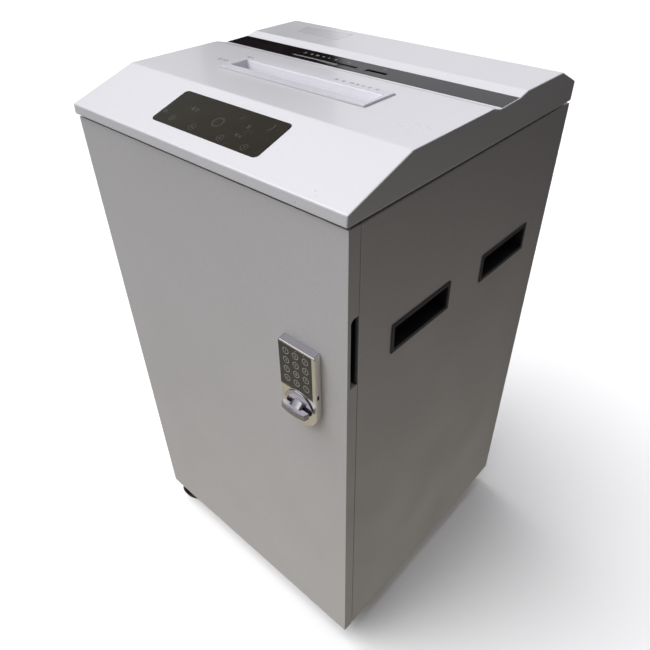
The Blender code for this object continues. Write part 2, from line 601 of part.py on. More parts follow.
def head():
    head_cover()
    touch_panel()
    base_outline = rounded_rectangle((-0.2367, 0.2367), (0.0034, 0.4670), 0.002, 2)
    throat = rounded_rectangle(THROAT_X, THROAT_Y, 0.0030, 2)
    plate("head_base", [base_outline, throat], "Z", (HEAD_BOTTOM, HEAD_BOTTOM + 0.0022),
          BLACK_PLASTIC)

    strip_profile = [(STRIP_Y[0], STRIP_FLOOR + FIT_GAP), (STRIP_Y[1], STRIP_FLOOR + FIT_GAP),
                     (STRIP_Y[1], 0.8256), (STRIP_Y[0], 0.8247)]
    strip = plate("media_strip", [strip_profile], "X", (-HALF_HEAD + 0.0015, HALF_HEAD - 0.0015),
                  BLACK_PLASTIC)
    cut_block(strip, "disc_slot", DISC_SLOT_X, DISC_SLOT_Y, (0.81, 0.84))
    cut_block(strip, "card_slot", CARD_SLOT_X, CARD_SLOT_Y, (0.81, 0.84))

    bezel_outline = rounded_rectangle((-BEZEL_X, BEZEL_X), BEZEL_Y, 0.0010, 1)
    bezel = plate("feed_bezel", [bezel_outline], "Z", (0.8289 + FIT_GAP, BEZEL_TOP), HEAD_SILVER)
    join_block(bezel, "bezel_walls", (-FEED_X - 0.0022, FEED_X + 0.0022),
               (FEED_Y[0] - 0.0022, FEED_Y[1] + 0.0022), (0.7900, 0.8295))
    cut_block(bezel, "bezel_throat", (-FEED_X, FEED_X), FEED_Y, (0.78, 0.84))

    middle_y = (CUTTER_FRONT_Y + CUTTER_REAR_Y) / 2
    chute_top = 0.7893
    chute_bottom = CUTTER_Z + CUTTER_DISC_RADIUS + 0.0045
    outer = [(middle_y - 0.0085, chute_bottom), (middle_y + 0.0085, chute_bottom),
             (FEED_Y[1] + 0.0022, chute_top), (FEED_Y[0] - 0.0022, chute_top)]
    chute = plate("paper_chute", [outer], "X", (-FEED_X - 0.0022, FEED_X + 0.0022), STEEL)
    inner = [(middle_y - 0.0050, chute_bottom - 0.001), (middle_y + 0.0050, chute_bottom - 0.001),
             (FEED_Y[1], chute_top + 0.001), (FEED_Y[0], chute_top + 0.001)]
    cut_outline(chute, "paper_chute_hollow", [inner], "X", (-FEED_X, FEED_X))

    low = chute_bottom
    high = 0.8198
    lean = 0.0770
    front = CUTTER_REAR_Y - 0.0080
    wide = 0.0160
    wall = 0.0014
    media_x = (DISC_SLOT_X[0] - 0.0040, CARD_SLOT_X[1] + 0.0040)
    outer = [(front, low), (front + wide, low), (front + wide + lean, high), (front + lean, high)]
    media = plate("media_chute", [outer], "X", media_x, STEEL)
    step = lean * 0.001 / (high - low)
    inner = [(front + wall - step, low - 0.001), (front + wide - wall - step, low - 0.001),
             (front + wide + lean - wall + step, high + 0.001),
             (front + lean + wall + step, high + 0.001)]
    cut_outline(media, "media_chute_hollow", [inner], "X", (media_x[0] + wall, media_x[1] - wall))


# ---------------------------------------------------------------- cutting mechanism
def gear_outline(centre, module, teeth, phase):
    """Straight-flanked teeth with backlash; phase turns the first tooth, in tooth pitches."""
    pitch_radius = module * teeth / 2
    tip = pitch_radius + 0.80 * module
    root = pitch_radius - 1.20 * module
    step = 2 * math.pi / teeth
    points = []
    for tooth in range(teeth):
        middle = (tooth + phase) * step
        for radius, half_width in ((root, 0.34), (tip, 0.12), (tip, -0.12), (root, -0.34)):
            angle = middle - half_width * step
            points.append((centre[0] + radius * math.cos(angle),
                           centre[1] + radius * math.sin(angle)))
    return points


def motor_axis():
    reach = DRIVE_MODULE * (DRIVE_TEETH + PINION_TEETH) / 2
    return (CUTTER_REAR_Y + reach * math.cos(MOTOR_ANGLE), CUTTER_Z + reach * math.sin(MOTOR_ANGLE))


def cutter_profile(first_disc, right_end):
    """A stepped shaft: bearing ends, a core and evenly spaced cutting discs, right end first."""
    inner = CUTTER_PLATE_X[0] - 0.0015
    steps = [(0.0, right_end), (SHAFT_RADIUS, right_end), (SHAFT_RADIUS, inner),
             (CUTTER_CORE_RADIUS, inner)]
    discs = [first_disc + CUTTER_PITCH * i for i in range(CUTTER_DISCS)]
    for left in reversed(discs):
        right = left + CUTTER_DISC_WIDTH
        steps += [(CUTTER_CORE_RADIUS, right), (CUTTER_DISC_RADIUS, right),
                  (CUTTER_DISC_RADIUS, left), (CUTTER_CORE_RADIUS, left)]
    return steps + [(CUTTER_CORE_RADIUS, -inner), (SHAFT_RADIUS, -inner),
                    (SHAFT_RADIUS, -0.1380), (0.0, -0.1380)]


def mechanism():
    axis_y, axis_z = motor_axis()
    top = CABINET_HEIGHT - 0.0045 - FIT_GAP
    for side, name in ((-1, "left"), (1, "right")):
        wall = [(0.1500, 0.6700), (0.3020, 0.6600), (0.3020, top), (0.1500, top)]
        holes = [circle((y, CUTTER_Z), SHAFT_RADIUS + FIT_GAP) for y in
                 (CUTTER_FRONT_Y, CUTTER_REAR_Y)]
        if side > 0:
            holes.append(circle((axis_y, axis_z), MOTOR_SHAFT_RADIUS + 0.001))
        plate("cutter_plate_" + name, [wall] + holes, "X",
              sorted((side * CUTTER_PLATE_X[0], side * CUTTER_PLATE_X[1])), STEEL)

    inner = CUTTER_PLATE_X[0] - FIT_GAP
    for name, y, z in (("front_upper", 0.1570, 0.7660), ("front_lower", 0.1570, 0.6820),
                       ("rear_upper", 0.2940, 0.7640)):
        bar = [(0.0, inner), (0.0045, inner), (0.0045, -inner), (0.0, -inner)]
        turned("tie_bar_" + name, bar, 12, (0, y, z), STEEL)

    front_end = SYNC_GEAR_X[1] + 0.0020
    rear_end = DRIVE_GEAR_X[1] + 0.0020
    first = -CUTTER_PITCH * CUTTER_DISCS / 2 + 0.0005
    turned("cutter_shaft_front", cutter_profile(first, front_end), 16,
           (0, CUTTER_FRONT_Y, CUTTER_Z), STEEL, "front_cutter_axis")
    turned("cutter_shaft_rear", cutter_profile(first + CUTTER_PITCH / 2, rear_end), 16,
           (0, CUTTER_REAR_Y, CUTTER_Z), STEEL, "rear_cutter_axis")

    bore = SHAFT_RADIUS + FIT_GAP
    for name, y, phase in (("front", CUTTER_FRONT_Y, 0.0), ("rear", CUTTER_REAR_Y, 0.5)):
        teeth = gear_outline((y, CUTTER_Z), SYNC_MODULE, SYNC_TEETH, phase)
        plate("sync_gear_" + name, [teeth, circle((y, CUTTER_Z), bore)], "X", SYNC_GEAR_X,
              STEEL, name + "_cutter_axis")

    # a drive gear tooth points at the motor, and the pinion shows it a gap
    turn = MOTOR_ANGLE / (2 * math.pi)
    teeth = gear_outline((CUTTER_REAR_Y, CUTTER_Z), DRIVE_MODULE, DRIVE_TEETH, turn * DRIVE_TEETH)
    plate("drive_gear", [teeth, circle((CUTTER_REAR_Y, CUTTER_Z), bore)], "X", DRIVE_GEAR_X,
          GEAR_PLASTIC, "rear_cutter_axis")
    teeth = gear_outline((axis_y, axis_z), DRIVE_MODULE, PINION_TEETH,
                         (turn + 0.5) * PINION_TEETH + 0.5)
    plate("motor_pinion", [teeth, circle((axis_y, axis_z), MOTOR_SHAFT_RADIUS + FIT_GAP)], "X",
          DRIVE_GEAR_X, STEEL, "motor_axis")
    shaft = [(0.0, DRIVE_GEAR_X[1] + 0.002), (MOTOR_SHAFT_RADIUS, DRIVE_GEAR_X[1] + 0.002),
             (MOTOR_SHAFT_RADIUS, 0.1040), (0.0, 0.1040)]
    turned("motor_shaft", shaft, 16, (0, axis_y, axis_z), STEEL, "motor_axis")
    case_end = CUTTER_PLATE_X[0] - FIT_GAP
    case = [(0.0, 0.1030), (MOTOR_SHAFT_RADIUS + 0.001, 0.1030),
            (MOTOR_SHAFT_RADIUS + 0.001, case_end), (MOTOR_RADIUS, case_end),
            (MOTOR_RADIUS, 0.0), (0.012, 0.0), (0.010, -0.008), (0.0, -0.008)]
    turned("motor_housing", case, 24, (0, axis_y, axis_z), STEEL)


# ---------------------------------------------------------------- waste bin
BIN_X = 0.2080
BIN_Y = (0.0420, 0.4500)
BIN_Z = (0.0040, 0.5600)


def waste_bin():
    """An open plastic bin on the cabinet floor, with a hand hole in its front wall."""
    outline = rounded_rectangle((-BIN_X, BIN_X), BIN_Y, 0.020, 3)
    tub = plate("waste_bin", [outline], "Z", BIN_Z, BIN_PLASTIC)
    wall = 0.0025
    inside = rounded_rectangle((-BIN_X + wall, BIN_X - wall), (BIN_Y[0] + wall, BIN_Y[1] - wall),
                               0.0175, 3)
    cut_outline(tub, "bin_hollow", [inside], "Z", (BIN_Z[0] + wall, BIN_Z[1] + 0.01))
    hand = rounded_rectangle((-0.055, 0.055), (0.490, 0.525), 0.012, 3)
    cut_outline(tub, "bin_hand_hole", [hand], "Y", (BIN_Y[0] - 0.01, BIN_Y[0] + 0.01))


# ---------------------------------------------------------------- mains inlet and switch
def rear_fittings():
    rear = CABINET_REAR - SHEET
    inlet = block("power_inlet", (0.1125, 0.1395), (rear - 0.020, CABINET_REAR - 0.0001),
                  (0.6705, 0.6895), BLACK_PLASTIC)
    cut_block(inlet, "inlet_socket", (0.1142, 0.1378), (rear - 0.014, rear + 0.01),
              (0.6722, 0.6878))
    frame = block("switch_frame", (0.0704, 0.0836), (rear - 0.016, CABINET_REAR - 0.0001),
                  (0.6690, 0.6910), BLACK_PLASTIC)
    cut_block(frame, "switch_window", (0.0718, 0.0822), (rear - 0.014, rear + 0.01),
              (0.6705, 0.6895))
    axis = PIVOTS["switch_axis"][1]
    rocker = arc((0.0, 0.0), 0.0110, -48, 48, 6) + [(-0.0020, 0.0060), (-0.0020, -0.0060)]
    tilt = math.radians(ROCKER_TILT)
    tilted = [(axis.y + u * math.cos(tilt) - v * math.sin(tilt),
               axis.z + u * math.sin(tilt) + v * math.cos(tilt)) for u, v in rocker]
    plate("power_switch", [tilted], "X", (0.0722, 0.0818), BLACK_PLASTIC, "switch_axis")


# ---------------------------------------------------------------- casters
def caster(corner, x, y):
    """Plate and king pin on the cabinet, a swivelling hood, and two wheels on one axle."""
    name = "caster_" + corner
    swivel = math.radians(CASTER_SWIVEL[corner])
    plate_bottom = -0.0030
    half = 0.0165
    outline = rounded_rectangle((x - half, x + half), (y - half, y + half), 0.003, 2)
    base = plate(name + "_plate", [outline], "Z", (plate_bottom, -FIT_GAP), STEEL)
    join_outline(base, name + "_pin", [circle((x, y), 0.0045, 12)], "Z", (-0.0180, plate_bottom))

    swivel_axis = pivot(name + "_swivel", (x, y, 0.0), "shredder_frame", swivel)
    axle_z = WHEEL_RADIUS - CASTER_HEIGHT
    hub = [(-WHEEL_TRAIL, axle_z)]
    hood_loop = arc(hub[0], 0.0190, 80, 215, 9)
    hood_loop += arc(hub[0], 0.0085, 260, 300, 2)
    hood_loop += [(0.0085, -0.0205), (0.0085, plate_bottom - FIT_GAP),
                  (-0.0140, plate_bottom - FIT_GAP)]
    half = 0.0075
    hood = outline_mesh(name + "_hood", [hood_loop[::-1]], "X", (-half, half))
    hood = bpy.data.objects.new(name + "_hood", hood)
    MODEL.objects.link(hood)
    hood.parent = swivel_axis
    hood.data.materials.append(BLACK_PLASTIC)
    # the two cuts turn with the hood
    pin_hole = outline_mesh("cut_pin", [circle((0.0, 0.0), 0.0048, 12)], "Z", (-0.0185, 0.01))
    axle_hole = outline_mesh("cut_axle", [circle(hub[0], 0.0033, 12)], "X", (-0.02, 0.02))
    for part_name, mesh in (("pin_hole", pin_hole), ("axle_hole", axle_hole)):
        tool = cutter(f"{name}_{part_name}", mesh)
        tool.parent = swivel_axis
        combine(hood, tool)

    out = WHEEL_HALF_WIDTH
    inside = half + 0.0008
    profile = [(0.0, out), (0.0150, out), (WHEEL_RADIUS - 0.0025, out), (WHEEL_RADIUS, out - 0.002),
               (WHEEL_RADIUS, inside), (0.0030, inside), (0.0030, -inside),
               (WHEEL_RADIUS, -inside), (WHEEL_RADIUS, 0.002 - out), (WHEEL_RADIUS - 0.0025, -out),
               (0.0150, -out), (0.0, -out)]
    mesh = along_x(turned_mesh(name + "_wheels", profile, 24))
    mesh.shade_smooth()
    mesh.set_sharp_from_angle(angle=math.radians(35))
    wheels = bpy.data.objects.new(name + "_wheels", mesh)
    MODEL.objects.link(wheels)
    wheels.parent = swivel_axis
    wheels.location = (0.0, -WHEEL_TRAIL, axle_z)
    wheels.data.materials.append(WHEEL_BLACK)


# ---------------------------------------------------------------- the whole shredder
def shredder():
    pivot("shredder_frame", (0.0, 0.0, 0.0))
    pivot("door_axis", DOOR_AXIS, "shredder_frame")
    pivot("knob_axis", (KNOB_X, DOOR_FRONT, KNOB_Z), "door_axis")
    pivot("front_cutter_axis", (0.0, CUTTER_FRONT_Y, CUTTER_Z), "shredder_frame")
    pivot("rear_cutter_axis", (0.0, CUTTER_REAR_Y, CUTTER_Z), "shredder_frame")
    pivot("motor_axis", (0.0, *motor_axis()), "shredder_frame")
    pivot("switch_axis", (0.0770, CABINET_REAR - 0.0120, 0.6800), "shredder_frame")
    cabinet()
    door()
    hinge_plate("door_hinge_top", (CABINET_HEIGHT + FIT_GAP, CABINET_HEIGHT + 0.0028),
                (CABINET_HEIGHT - 0.0120, CABINET_HEIGHT + 0.0020), STEEL)
    hinge_plate("door_hinge_bottom", (-0.0028, -FIT_GAP), (-0.0020, 0.0120), STEEL)
    lock()
    head()
    mechanism()
    waste_bin()
    rear_fittings()
    for corner, x, y in (("front_left", -CASTER_X, CASTER_Y[0]),
                         ("front_right", CASTER_X, CASTER_Y[0]),
                         ("rear_left", -CASTER_X, CASTER_Y[1]),
                         ("rear_right", CASTER_X, CASTER_Y[1])):
        caster(corner, x, y)
    PIVOTS["shredder_frame"][0].location = FRAME_ORIGIN


shredder()
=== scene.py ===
"""Looks of the paper shredder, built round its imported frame: finishes, rounded edges and fine parts."""
import json
import math

import bmesh
import bpy
from mathutils import Matrix, Vector


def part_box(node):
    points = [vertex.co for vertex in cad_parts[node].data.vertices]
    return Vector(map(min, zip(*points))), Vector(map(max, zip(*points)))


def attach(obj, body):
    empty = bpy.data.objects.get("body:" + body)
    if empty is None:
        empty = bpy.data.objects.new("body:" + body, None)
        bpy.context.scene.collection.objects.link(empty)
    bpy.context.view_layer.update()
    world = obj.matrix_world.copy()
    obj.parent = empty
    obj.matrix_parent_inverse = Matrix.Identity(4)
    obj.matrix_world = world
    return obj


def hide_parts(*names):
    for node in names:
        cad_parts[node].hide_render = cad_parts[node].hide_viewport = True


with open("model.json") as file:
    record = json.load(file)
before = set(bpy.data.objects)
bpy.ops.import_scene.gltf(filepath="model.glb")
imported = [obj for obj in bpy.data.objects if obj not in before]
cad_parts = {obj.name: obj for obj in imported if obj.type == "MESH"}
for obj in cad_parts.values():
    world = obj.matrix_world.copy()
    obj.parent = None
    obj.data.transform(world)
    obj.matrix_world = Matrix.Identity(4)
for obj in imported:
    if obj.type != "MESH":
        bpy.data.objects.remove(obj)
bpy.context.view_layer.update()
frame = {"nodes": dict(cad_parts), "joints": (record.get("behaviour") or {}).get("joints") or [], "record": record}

NODES = frame["nodes"]
NODE_SLOT = {row["node"]: row["material_slot"] for row in frame["record"]["subparts"]}
BODIES = frame["record"]["behaviour"]["bodies"]
NODE_BODY = {node: body for body, nodes in BODIES.items() for node in nodes}

# Lengths are metres. Shapes are drawn from the head's front lip (y = 0), the underside of the cabinet
# (z = 0) and the middle of the width (x = 0), and ORIGIN takes them to the frame.
ORIGIN = Vector((0.0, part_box("head_cover")[0].y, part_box("cabinet_floor")[0].z))


def local_box(node):
    """A node's box, lowest and highest corner, in the drawing's own coordinates."""
    low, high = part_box(node)
    return low - ORIGIN, high - ORIGIN


# ---------------------------------------------------------------- driving places, read from the frame
BEZEL = local_box("feed_bezel")
STRIP = local_box("media_strip")
HOUSING = local_box("lock_housing")
PAD = local_box("lock_keypad")
KNOB = local_box("lock_knob")
DOOR = local_box("door_panel")
REAR = local_box("rear_panel")
GLASS = local_box("touch_panel")
POCKET = local_box("door_grip_pocket")
INLET = local_box("power_inlet")
JOINTS = {joint["name"]: joint for joint in frame["joints"]}

FEED_X = 0.1190
FEED_Y = (0.1765, 0.2060)
DISC_SLOT = ((-0.1126, 0.0113), (0.2845, 0.2900))
CARD_SLOT = ((0.0265, 0.0606), (0.2805, 0.2920))
SLOPE_FOOT = Vector((0.0, 0.0007, 0.7970))
SLOPE_HEAD = Vector((0.0, 0.0985, 0.8289))
GLASS_PROUD = 0.0004
DECK_TOP = 0.8289
REAR_DECK_TOP = 0.8300
KNOB_CENTRE = Vector(JOINTS["lock_knob_turn"]["pos_m"]) - ORIGIN
INK = 0.00003                    # how far printed marks stand proud
NEAR = 0.00001                   # a vertex this close to a plane counts as on it


# ---------------------------------------------------------------- materials
def node_link(tree, source, target):
    tree.links.new(source, target)


def ranged(tree, value, low, high, start=0.3, end=0.7):
    """A map from a noise value to a chosen range."""
    part = tree.nodes.new("ShaderNodeMapRange")
    part.inputs["From Min"].default_value = start
    part.inputs["From Max"].default_value = end
    part.inputs["To Min"].default_value = low
    part.inputs["To Max"].default_value = high
    node_link(tree, value, part.inputs["Value"])
    return part.outputs["Result"]


def noise(tree, vector, scale, detail=3.0, distortion=0.0):
    part = tree.nodes.new("ShaderNodeTexNoise")
    part.inputs["Scale"].default_value = scale
    part.inputs["Detail"].default_value = detail
    part.inputs["Distortion"].default_value = distortion
    node_link(tree, vector, part.inputs["Vector"])
    return part.outputs["Fac"]


def cells(tree, vector, scale):
    """A different grey in each small cell, for metal flakes and zinc spangle."""
    part = tree.nodes.new("ShaderNodeTexVoronoi")
    part.inputs["Scale"].default_value = scale
    node_link(tree, vector, part.inputs["Vector"])
    grey = tree.nodes.new("ShaderNodeRGBToBW")
    node_link(tree, part.outputs["Color"], grey.inputs["Color"])
    return grey.outputs["Val"]


def blended(tree, factor, first, second, kind="MIX"):
    """A colour mix; first and second are colours or sockets."""
    part = tree.nodes.new("ShaderNodeMix")
    part.data_type = "RGBA"
    part.blend_type = kind
    for value, socket in ((factor, part.inputs[0]), (first, part.inputs[6]), (second, part.inputs[7])):
        if isinstance(value, bpy.types.NodeSocket):
            node_link(tree, value, socket)
        elif isinstance(value, tuple):
            socket.default_value = (*value, 1.0)
        else:
            socket.default_value = value
    return part.outputs[2]


def scaled(colour, amount):
    return tuple(min(1.0, channel * amount) for channel in colour)


def look(name, colour, roughness, metallic=0.0, coat=0.0, tone=(6.0, 0.06), flake=None, stretch=(1, 1, 1),
         rough_change=(9.0, 0.05), bumps=((900.0, 0.15, 0.00002),), dust=None, specular=0.5, coat_rough=0.18):
    """A procedural finish: slow change of tone, flakes or cells, uneven gloss, fine relief and dust."""
    made = bpy.data.materials.new(name)
    made.use_nodes = True
    tree = made.node_tree
    shader = tree.nodes["Principled BSDF"]
    shader.inputs["Metallic"].default_value = metallic
    shader.inputs["Coat Weight"].default_value = coat
    shader.inputs["Coat Roughness"].default_value = coat_rough
    shader.inputs["Specular IOR Level"].default_value = specular
    place = tree.nodes.new("ShaderNodeTexCoord")
    mapping = tree.nodes.new("ShaderNodeMapping")
    mapping.inputs["Scale"].default_value = stretch
    node_link(tree, place.outputs["Object"], mapping.inputs["Vector"])
    vector = mapping.outputs["Vector"]

    slow = ranged(tree, noise(tree, vector, tone[0], 4.0), 0.0, 1.0)
    shade = blended(tree, slow, scaled(colour, 1 - tone[1]), scaled(colour, 1 + tone[1]))
    if flake:
        speck = ranged(tree, cells(tree, vector, flake[0]), 1 - flake[1], 1 + flake[1], 0.1, 0.9)
        shade = blended(tree, 1.0, shade, speck, "MULTIPLY")
    if dust:
        patch = ranged(tree, noise(tree, vector, dust[1], 6.0, 0.4), 0.0, dust[2], 0.52, 0.75)
        shade = blended(tree, patch, shade, dust[0])
    node_link(tree, shade, shader.inputs["Base Color"])
    gloss = ranged(tree, noise(tree, vector, rough_change[0], 5.0), roughness - rough_change[1],
                   roughness + rough_change[1])
    node_link(tree, gloss, shader.inputs["Roughness"])

    normal = None
    for scale, strength, depth in bumps:
        bump = tree.nodes.new("ShaderNodeBump")
        bump.inputs["Strength"].default_value = strength
        bump.inputs["Distance"].default_value = depth
        node_link(tree, noise(tree, vector, scale, 2.0), bump.inputs["Height"])
        if normal:
            node_link(tree, normal, bump.inputs["Normal"])
        normal = bump.outputs["Normal"]
    node_link(tree, normal, shader.inputs["Normal"])
    return made


def circuit_look():
    """Solder mask with darker rows of tracks."""
    made = look("circuit_board", (0.015, 0.10, 0.04), 0.35, coat=0.3)
    tree = made.node_tree
    shader = tree.nodes["Principled BSDF"]
    place = next(n for n in tree.nodes if n.type == "TEX_COORD")
    rows = tree.nodes.new("ShaderNodeTexBrick")
    rows.inputs["Scale"].default_value = 260.0
    rows.inputs["Mortar Size"].default_value = 0.03
    rows.inputs["Color1"].default_value = (0.012, 0.085, 0.035, 1)
    rows.inputs["Color2"].default_value = (0.02, 0.13, 0.05, 1)
    rows.inputs["Mortar"].default_value = (0.05, 0.20, 0.07, 1)
    node_link(tree, place.outputs["Object"], rows.inputs["Vector"])
    node_link(tree, rows.outputs["Color"], shader.inputs["Base Color"])
    return made


SILVER = (0.575, 0.572, 0.585)
ORANGE_PEEL = ((420.0, 0.10, 0.00006), (2600.0, 0.12, 0.00001))
SPARKED = ((1500.0, 0.35, 0.00003), (5200.0, 0.25, 0.00001))
LOOKS = {
    "head_silver": look("head_silver", (0.64, 0.64, 0.665), 0.32, 0.22, 0.55, (5.0, 0.015), (2400.0, 0.05),
                        bumps=((2600.0, 0.10, 0.000004),), coat_rough=0.05),
    "cabinet_paint": look("cabinet_paint", SILVER, 0.40, 0.35, 0.18, (3.0, 0.03), (1900.0, 0.09),
                          bumps=ORANGE_PEEL),
    "black_plastic": look("black_plastic", (0.016, 0.016, 0.018), 0.42, 0.0, 0.0, (30.0, 0.25),
                          bumps=SPARKED, dust=((0.09, 0.085, 0.08), 40.0, 0.10)),
    "touch_glass": look("touch_glass", (0.012, 0.0095, 0.004), 0.14, 0.0, 0.0, (14.0, 0.18), specular=0.12,
                        rough_change=(60.0, 0.04), bumps=((60.0, 0.03, 0.00002),),
                        dust=((0.10, 0.09, 0.065), 90.0, 0.06)),
    "lock_metal": look("lock_metal", (0.84, 0.81, 0.74), 0.20, 1.0, 0.0, (20.0, 0.04),
                       rough_change=(300.0, 0.03), bumps=((900.0, 0.05, 0.000004),)),
    "steel": look("steel", (0.50, 0.50, 0.49), 0.34, 1.0, 0.0, (25.0, 0.10), (160.0, 0.10),
                  rough_change=(60.0, 0.10), bumps=((700.0, 0.12, 0.00002),),
                  dust=((0.25, 0.23, 0.20), 30.0, 0.25)),
    "gear_plastic": look("gear_plastic", (0.70, 0.67, 0.56), 0.45, 0.0, 0.0, (30.0, 0.06),
                         bumps=SPARKED, dust=((0.20, 0.18, 0.13), 120.0, 0.35)),
    "bin_plastic": look("bin_plastic", (0.045, 0.046, 0.050), 0.50, 0.0, 0.0, (12.0, 0.15),
                        bumps=SPARKED, dust=((0.24, 0.23, 0.21), 70.0, 0.07)),
    "circuit_board": circuit_look(),
    "wheel_rubber": look("wheel_rubber", (0.020, 0.020, 0.021), 0.55, 0.0, 0.0, (60.0, 0.3),
                         bumps=((2200.0, 0.3, 0.00003),), dust=((0.16, 0.15, 0.13), 70.0, 0.45)),
}
INK_GREY = look("ink_grey", (0.12, 0.12, 0.14), 0.5, tone=(400.0, 0.15))
INK_PALE = look("ink_pale", (0.30, 0.30, 0.31), 0.5, tone=(400.0, 0.2))
INK_OLIVE = look("ink_olive", (0.058, 0.052, 0.036), 0.3, coat=0.4, tone=(300.0, 0.25))
INK_KEY = look("ink_key", (0.34, 0.33, 0.28), 0.4, tone=(500.0, 0.25))
# Near-black fill: the dark insert in the lock's side port, and a painted shadow under the knob's half-round plate
BLACK_INSERT_AND_PAINTED_SHADOW = look("black_insert_and_painted_shadow", (0.004, 0.004, 0.005), 0.7, tone=(200.0, 0.3))
# A darker lilac copy of the lock metal: painted shade and sky reflection, on the knob and on the housing's upward
# faces
SHADED_LILAC_METAL = look("shaded_lilac_metal", (0.36, 0.35, 0.38), 0.20, 1.0, 0.0, (20.0, 0.04), stretch=(0.03, 1, 1),
                  rough_change=(900.0, 0.04), bumps=((900.0, 0.05, 0.000004),))
# The lock metal tinted lilac for the knob's plate: a painted sky reflection on its upper half
LILAC_REFLECTION_METAL = look("rosette_painted_reflection", (0.62, 0.61, 0.65), 0.24, 1.0, 0.0, (20.0, 0.04),
                     rough_change=(300.0, 0.04), bumps=((900.0, 0.05, 0.000004),))
BEZEL_LOOK = look("bezel_silver", (0.56, 0.555, 0.60), 0.36, 0.15, 0.20, (5.0, 0.015), (2400.0, 0.04))
# A near-white copy of the bezel silver for the opening's inner walls: painted light, so walls in shade read as
# bright as the flange
LIT_SLEEVE_LOOK = look("bezel_sleeve_painted_light", (0.95, 0.935, 0.99), 0.36, 0.0, 0.20, (5.0, 0.015), (2400.0, 0.03))
FILM = look("label_film", (0.63, 0.63, 0.655), 0.20, 0.22, 0.4, (40.0, 0.03),
            bumps=((90.0, 0.10, 0.0001),))
CHIP = look("bare_chip", (0.86, 0.85, 0.82), 0.6, tone=(3000.0, 0.1))
SCREW_ZINC = look("screw_zinc", (0.56, 0.56, 0.55), 0.30, 1.0, 0.0, (300.0, 0.12), (1200.0, 0.12))
MOTOR_CASE = look("motor_case", (0.16, 0.16, 0.17), 0.38, 0.7, 0.0, (30.0, 0.12), stretch=(0.2, 1, 1),
                  rough_change=(60.0, 0.08), dust=((0.30, 0.28, 0.25), 50.0, 0.2))
STRIP_LOOK = look("strip_gloss", (0.006, 0.0048, 0.0052), 0.08, 0.0, 0.0, (30.0, 0.2),
                  bumps=((1500.0, 0.10, 0.00001),), rough_change=(60.0, 0.02),
                  dust=((0.10, 0.095, 0.09), 60.0, 0.05))
PAD_LOOK = look("pad_black", (0.034, 0.033, 0.026), 0.30, 0.0, 0.0, (60.0, 0.2),
                bumps=((900.0, 0.15, 0.00002),), dust=((0.10, 0.09, 0.07), 90.0, 0.10))


# ---------------------------------------------------------------- outlines and meshes
def arc(centre, radius, start, end, steps):
    """Points on an arc, angles in degrees."""
    angles = [math.radians(start + (end - start) * i / steps) for i in range(steps + 1)]
    return [(centre[0] + radius * math.cos(a), centre[1] + radius * math.sin(a)) for a in angles]


def circle(centre, radius, steps=48):
    return arc(centre, radius, 0.0, 360.0 * (steps - 1) / steps, steps - 1)


def rectangle(u, v):
    """The corners of a rectangle, anticlockwise."""
    return [(u[0], v[0]), (u[1], v[0]), (u[1], v[1]), (u[0], v[1])]


def rounded(u, v, radius, steps=6):
    """A rectangle with round corners, anticlockwise."""
    points = []
    corners = ((u[1] - radius, v[0] + radius, -90), (u[1] - radius, v[1] - radius, 0),
               (u[0] + radius, v[1] - radius, 90), (u[0] + radius, v[0] + radius, 180))
    for centre_u, centre_v, start in corners:
        points += arc((centre_u, centre_v), radius, start, start + 90, steps)
    return points


def along(axis, u, v, depth):
    return {"X": (depth, u, v), "Y": (u, depth, v), "Z": (u, v, depth)}[axis]


def prism(loop, axis, span):
    """A closed bmesh: a flat outline pushed along an axis."""
    shape = bmesh.new()
    ends = [[shape.verts.new(along(axis, u, v, depth)) for u, v in loop] for depth in span]
    for end in ends:
        shape.faces.new(end)
    for i in range(len(loop)):
        j = (i + 1) % len(loop)
        shape.faces.new((ends[0][i], ends[0][j], ends[1][j], ends[1][i]))
    bmesh.ops.recalc_face_normals(shape, faces=shape.faces)
    return shape


def lathe(profile, steps=64):
    """A closed bmesh turned about X; the profile is (x, radius) and starts and ends at radius 0."""
    shape = bmesh.new()
    rings = []
    for x, radius in profile:
        count = steps if radius > 0 else 1
        angles = [2 * math.pi * i / count for i in range(count)]
        rings.append([shape.verts.new((x, radius * math.cos(a), radius * math.sin(a))) for a in angles])
    for first, second in zip(rings, rings[1:]):
        for i in range(steps):
            a, b = first[i % len(first)], first[(i + 1) % len(first)]
            c, d = second[(i + 1) % len(second)], second[i % len(second)]
            corners = [corner for k, corner in enumerate((a, b, c, d)) if corner not in (a, b, c, d)[:k]]
            if len(corners) > 2:
                shape.faces.new(corners)
    bmesh.ops.recalc_face_normals(shape, faces=shape.faces)
    return shape


def round_off(shape, width, segments=3, angle=25.0, chosen=lambda edge: True):
    """Round the sharp edges that chosen() accepts."""
    sharp = [e for e in shape.edges if len(e.link_faces) == 2
             and e.calc_face_angle(0.0) > math.radians(angle) and chosen(e)]
    if sharp:
        bmesh.ops.bevel(shape, geom=sharp, offset=width, segments=segments, profile=0.5,
                        affect="EDGES", clamp_overlap=True)
    return shape


def to_mesh(shape, name="mesh"):
    mesh = bpy.data.meshes.new(name)
    shape.to_mesh(mesh)
    shape.free()
    return mesh


def from_mesh(mesh):
    shape = bmesh.new()
    shape.from_mesh(mesh)
    return shape


